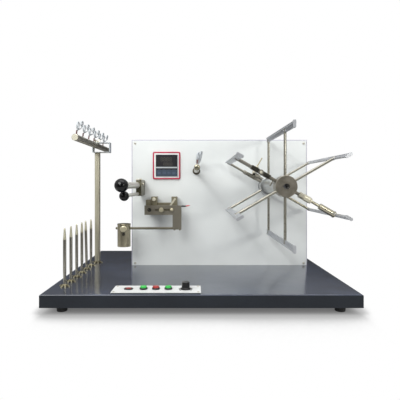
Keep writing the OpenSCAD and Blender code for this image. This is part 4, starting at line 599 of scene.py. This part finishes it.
# The inside of the pivot bore is painted dark, as the shade in the hole.
bore_x, bore_z, bore_r, bore_back = -0.1662, 0.2499, 0.0021, -0.02
second_skin(carrier, dark_boss_and_bore_shade,
            lambda face: math.hypot(face.center.x - bore_x, face.center.z - bore_z) < bore_r
            and face.center.y < bore_back)
beam_steel = finish("beam_steel", "#8d887b", "#827d70", 0.38, 0.9, patch=14, bump=0.05, fine=700)
knob_khaki = finish("knob_khaki", "#bfb89e", "#b0a98f", 0.34, 0.65, patch=60, bump=0.01)
poise_rod_grey = finish("poise_rod_grey", "#6e6a5c", "#646052", 0.5, 0.3, patch=20, bump=0.01,
                        gloss=0.3)
beam = dressed("balance_beam", beam_steel, 0.0004)
beam_face, boss_right, stud_left = -0.0317, -0.158, -0.15
second_skin(beam, dark_boss_and_bore_shade, lambda face: face.center.y < beam_face and face.center.x < boss_right)
second_skin(beam, knob_khaki, lambda face: face.center.y < beam_face and face.center.x > stud_left)
poise_right, poise_top = -0.092, 0.21
second_skin(beam, poise_rod_grey,
            lambda face: face.center.x < poise_right and face.center.z < poise_top)
needle_red = finish("needle_red", "#cf2128", "#b91b22", 0.4, patch=200)
tube_black = finish("tube_black", "#17181c", "#101114", 0.35, patch=200, gloss=0.3)
tube_end = -0.0468
second_skin(dressed("balance_pointer", needle_red, 0.0002), tube_black,
            lambda face: face.center.x < tube_end)
needle_lean = 82
needle_way = (base_frame @ Matrix.Translation((-0.0479, 0.304, 0.21))
              @ Matrix.Rotation(math.radians(needle_lean), 4, "Y"))
bm = bmesh.new()
turned(bm, needle_way, ((0.0, 0.0014), (0.0017, 0.0014), (0.002, 0.0022), (0.0016, 0.012),
                        (0.0008, 0.0145), (0.0, 0.015)), segments=20)
made("needle_sleeve", bm, needle_red, node_body["balance_pointer"])
cup_nickel = finish("cup_nickel", "#aaa48f", "#9a947f", 0.24, 1.0, patch=14, bump=0.03, fine=500)
cup_screw_back = -0.0492
second_skin(dressed("balance_cup", cup_nickel), knob_khaki,
            lambda face: face.center.y < cup_screw_back)
facing = Matrix.Rotation(math.radians(90), 4, "X")


def cup_boss(name, material, place, outline):
    """A turned boss on the front of the cup."""
    bm = bmesh.new()
    turned(bm, base_frame @ Matrix.Translation(place) @ facing, outline)
    made(name, bm, material, node_body["balance_cup"])


cup_boss("poise_disc", knob_khaki, (-0.248, 0.2785, 0.1369),
         ((0.0, 0.0), (0.0094, 0.0), (0.0106, 0.0008), (0.0106, 0.0022), (0.0096, 0.003),
          (0.008, 0.0035), (0.0, 0.0037)))
cup_boss("poise_stud", dark_boss_and_bore_shade, (-0.2488, 0.2842, 0.1198),
         ((0.0, 0.0), (0.0052, 0.0), (0.0052, 0.0035), (0.0045, 0.0042), (0.0022, 0.0042),
          (0.0018, 0.0024), (0.0, 0.0024)))
dressed("setting_knob", knob_khaki, 0.0002)

# The reel: two turned hubs on one barrel, and pairs of plated arms set into the hubs. The arms'
# slotted ends are riveted to extruded aluminium bars, each with a cap on its front end.
hub_steel = finish("hub_steel", "#a09a8e", "#7b766b", 0.36, 1.0, patch=40, bump=0.06, fine=400)
barrel_aluminium = finish("barrel_aluminium", "#c4c6c5", "#b4b6b6", 0.3, 1.0, patch=30, bump=0.03)
behind_front_hub = -0.22
second_skin(dressed("reel_hubs", hub_steel, 0.0004), barrel_aluminium,
            lambda face: face.center.y > behind_front_hub)
arm_nickel = finish("arm_nickel", "#a29f93", "#98958a", 0.28, 0.95, patch=8, bump=0.0, fine=300,
                    spread=0.03)
dressed("reel_arms", arm_nickel, 0.0002)
stub_steel = finish("stub_steel", "#7b776c", "#6a665c", 0.4, 0.8, patch=30)
stubs = dressed("hub_stubs", stub_steel)
between_hubs, pin_head_back = -0.14, -0.2532
second_skin(stubs, arm_nickel, lambda face: face.center.y > between_hubs)
second_skin(stubs, bright_nickel, lambda face: face.center.y < pin_head_back)
bar_aluminium = finish("bar_aluminium", "#c6c8cc", "#b6b8bc", 0.4, 0.85, patch=12,
                       stretch=(8, 1, 8), fine=300)
for node in ("reel_bars", "fold_bar", "adjust_bar"):
    dressed(node, bar_aluminium)

# The two arms that move: one folds inwards at a pinned knuckle of steel plates and a thin channel,
# held by a clamp screw through a dark block. The one opposite has a long plated nut that moves its
# bar out and in.
dark_rod = finish("dark_rod", "#85827a", "#76736b", 0.36, 0.8, patch=20)
second_skin(dressed("fold_rods", dark_rod), arm_nickel, lambda face: face.center.y > between_hubs)
block_dark = finish("block_dark", "#38352e", "#2c2a24", 0.4, 0.6, patch=40)
dressed("fold_block", block_dark, 0.0005)
reel_axis, fold_turn = (0.2334, 0, 0.2766), -150
fold_way = (base_frame @ Matrix.Translation(reel_axis)
            @ Matrix.Rotation(math.radians(fold_turn), 4, "Y"))


def knuckle_plates(name, material, boxes):
    """Flat bars with broken edges at the knuckle, in millimetres along the folding arm."""
    bm = bmesh.new()
    for low, high in boxes:
        low, high = Vector(low) / mm_in_m, Vector(high) / mm_in_m
        bmesh.ops.create_cube(bm, size=1, matrix=fold_way @ Matrix.Translation((low + high) / 2)
                              @ Matrix.Diagonal((*(high - low), 1)))
    bmesh.ops.bevel(bm, geom=list(bm.edges), offset=0.0004, offset_type="OFFSET", segments=2,
                    profile=0.5, affect="EDGES", material=-1)
    made(name, bm, material, node_body["hub_stubs"])


# Two dark plates: a cover in front over the fork's root, and at the back of the channel a dark
# plate that is painted shade in the slot between brace and fork.
knuckle_plates("hinge_cover_and_slot_shade", block_dark,
               (((50.5, 77, -5.6), (69.5, 78.6, 5.6)), ((44, 334, -14.5), (68, 335.5, -4))))
knuckle_plates("hinge_channel", arm_nickel,
               (((42, 325.5, -17), (70, 335.5, -14.3)), ((67, 325.5, -14.4), (70, 335.5, -3))))
bm = bmesh.new()
turned(bm, fold_way @ Matrix.Translation((0.078, 0.0786, 0)) @ facing,
       ((0.0045, 0.0), (0.0072, 0.0), (0.0076, 0.0004), (0.0072, 0.0009), (0.0045, 0.0009),
        (0.0045, 0.0)))
made("hinge_washer", bm, arm_nickel, node_body["hub_stubs"])
tail_khaki = finish("tail_khaki", "#a79f82", "#999175", 0.4, 0.5, patch=60, bump=0.01)
tail_top = -0.0104
second_skin(dressed("clamp_screw", bright_nickel, 0.0002), tail_khaki,
            lambda face: (fold_way.inverted() @ face.center).z < tail_top)
nut_nickel = finish("nut_nickel", "#aba693", "#a09b88", 0.24, 1.0, patch=6, bump=0.0, spread=0.03)
dressed("adjust_rods", nut_nickel)
nut_cream = finish("nut_cream", "#c8c3af", "#bab5a1", 0.3, 0.65, patch=6, bump=0.0, spread=0.03)
dressed("adjust_nut", nut_cream, 0.0004)

# The drive inside the cabinet: flange and bearings, pulleys and belt, motor, worm gearbox, board
# and power supply, on a frame bolted to the floor of the shell.
flange_aluminium = finish("flange_aluminium", "#b7b8b8", "#96989a", 0.35, 1.0, patch=50, bump=0.04)
for node in ("reel_flange", "driven_pulley", "motor_pulley"):
    dressed(node, flange_aluminium)
for node in ("reel_bearings", "reel_shaft"):
    dressed(node, machined_steel, 0.0002)
machine_grey = finish("machine_grey", "#5f646b", "#4f545a", 0.45, patch=20, bump=0.15, fine=500)
for node in ("drive_frame", "drive_motor", "gearbox_case"):
    dressed(node, machine_grey, 0.0005)
dressed("drive_belt", foot_rubber, 0.0002)
board_green = finish("board_green", "#2c6b43", "#235a37", 0.4, patch=80, bump=0.05)
dressed("circuit_board", board_green, 0.0002)
dressed("power_supply", zinc_plate, 0.0004)
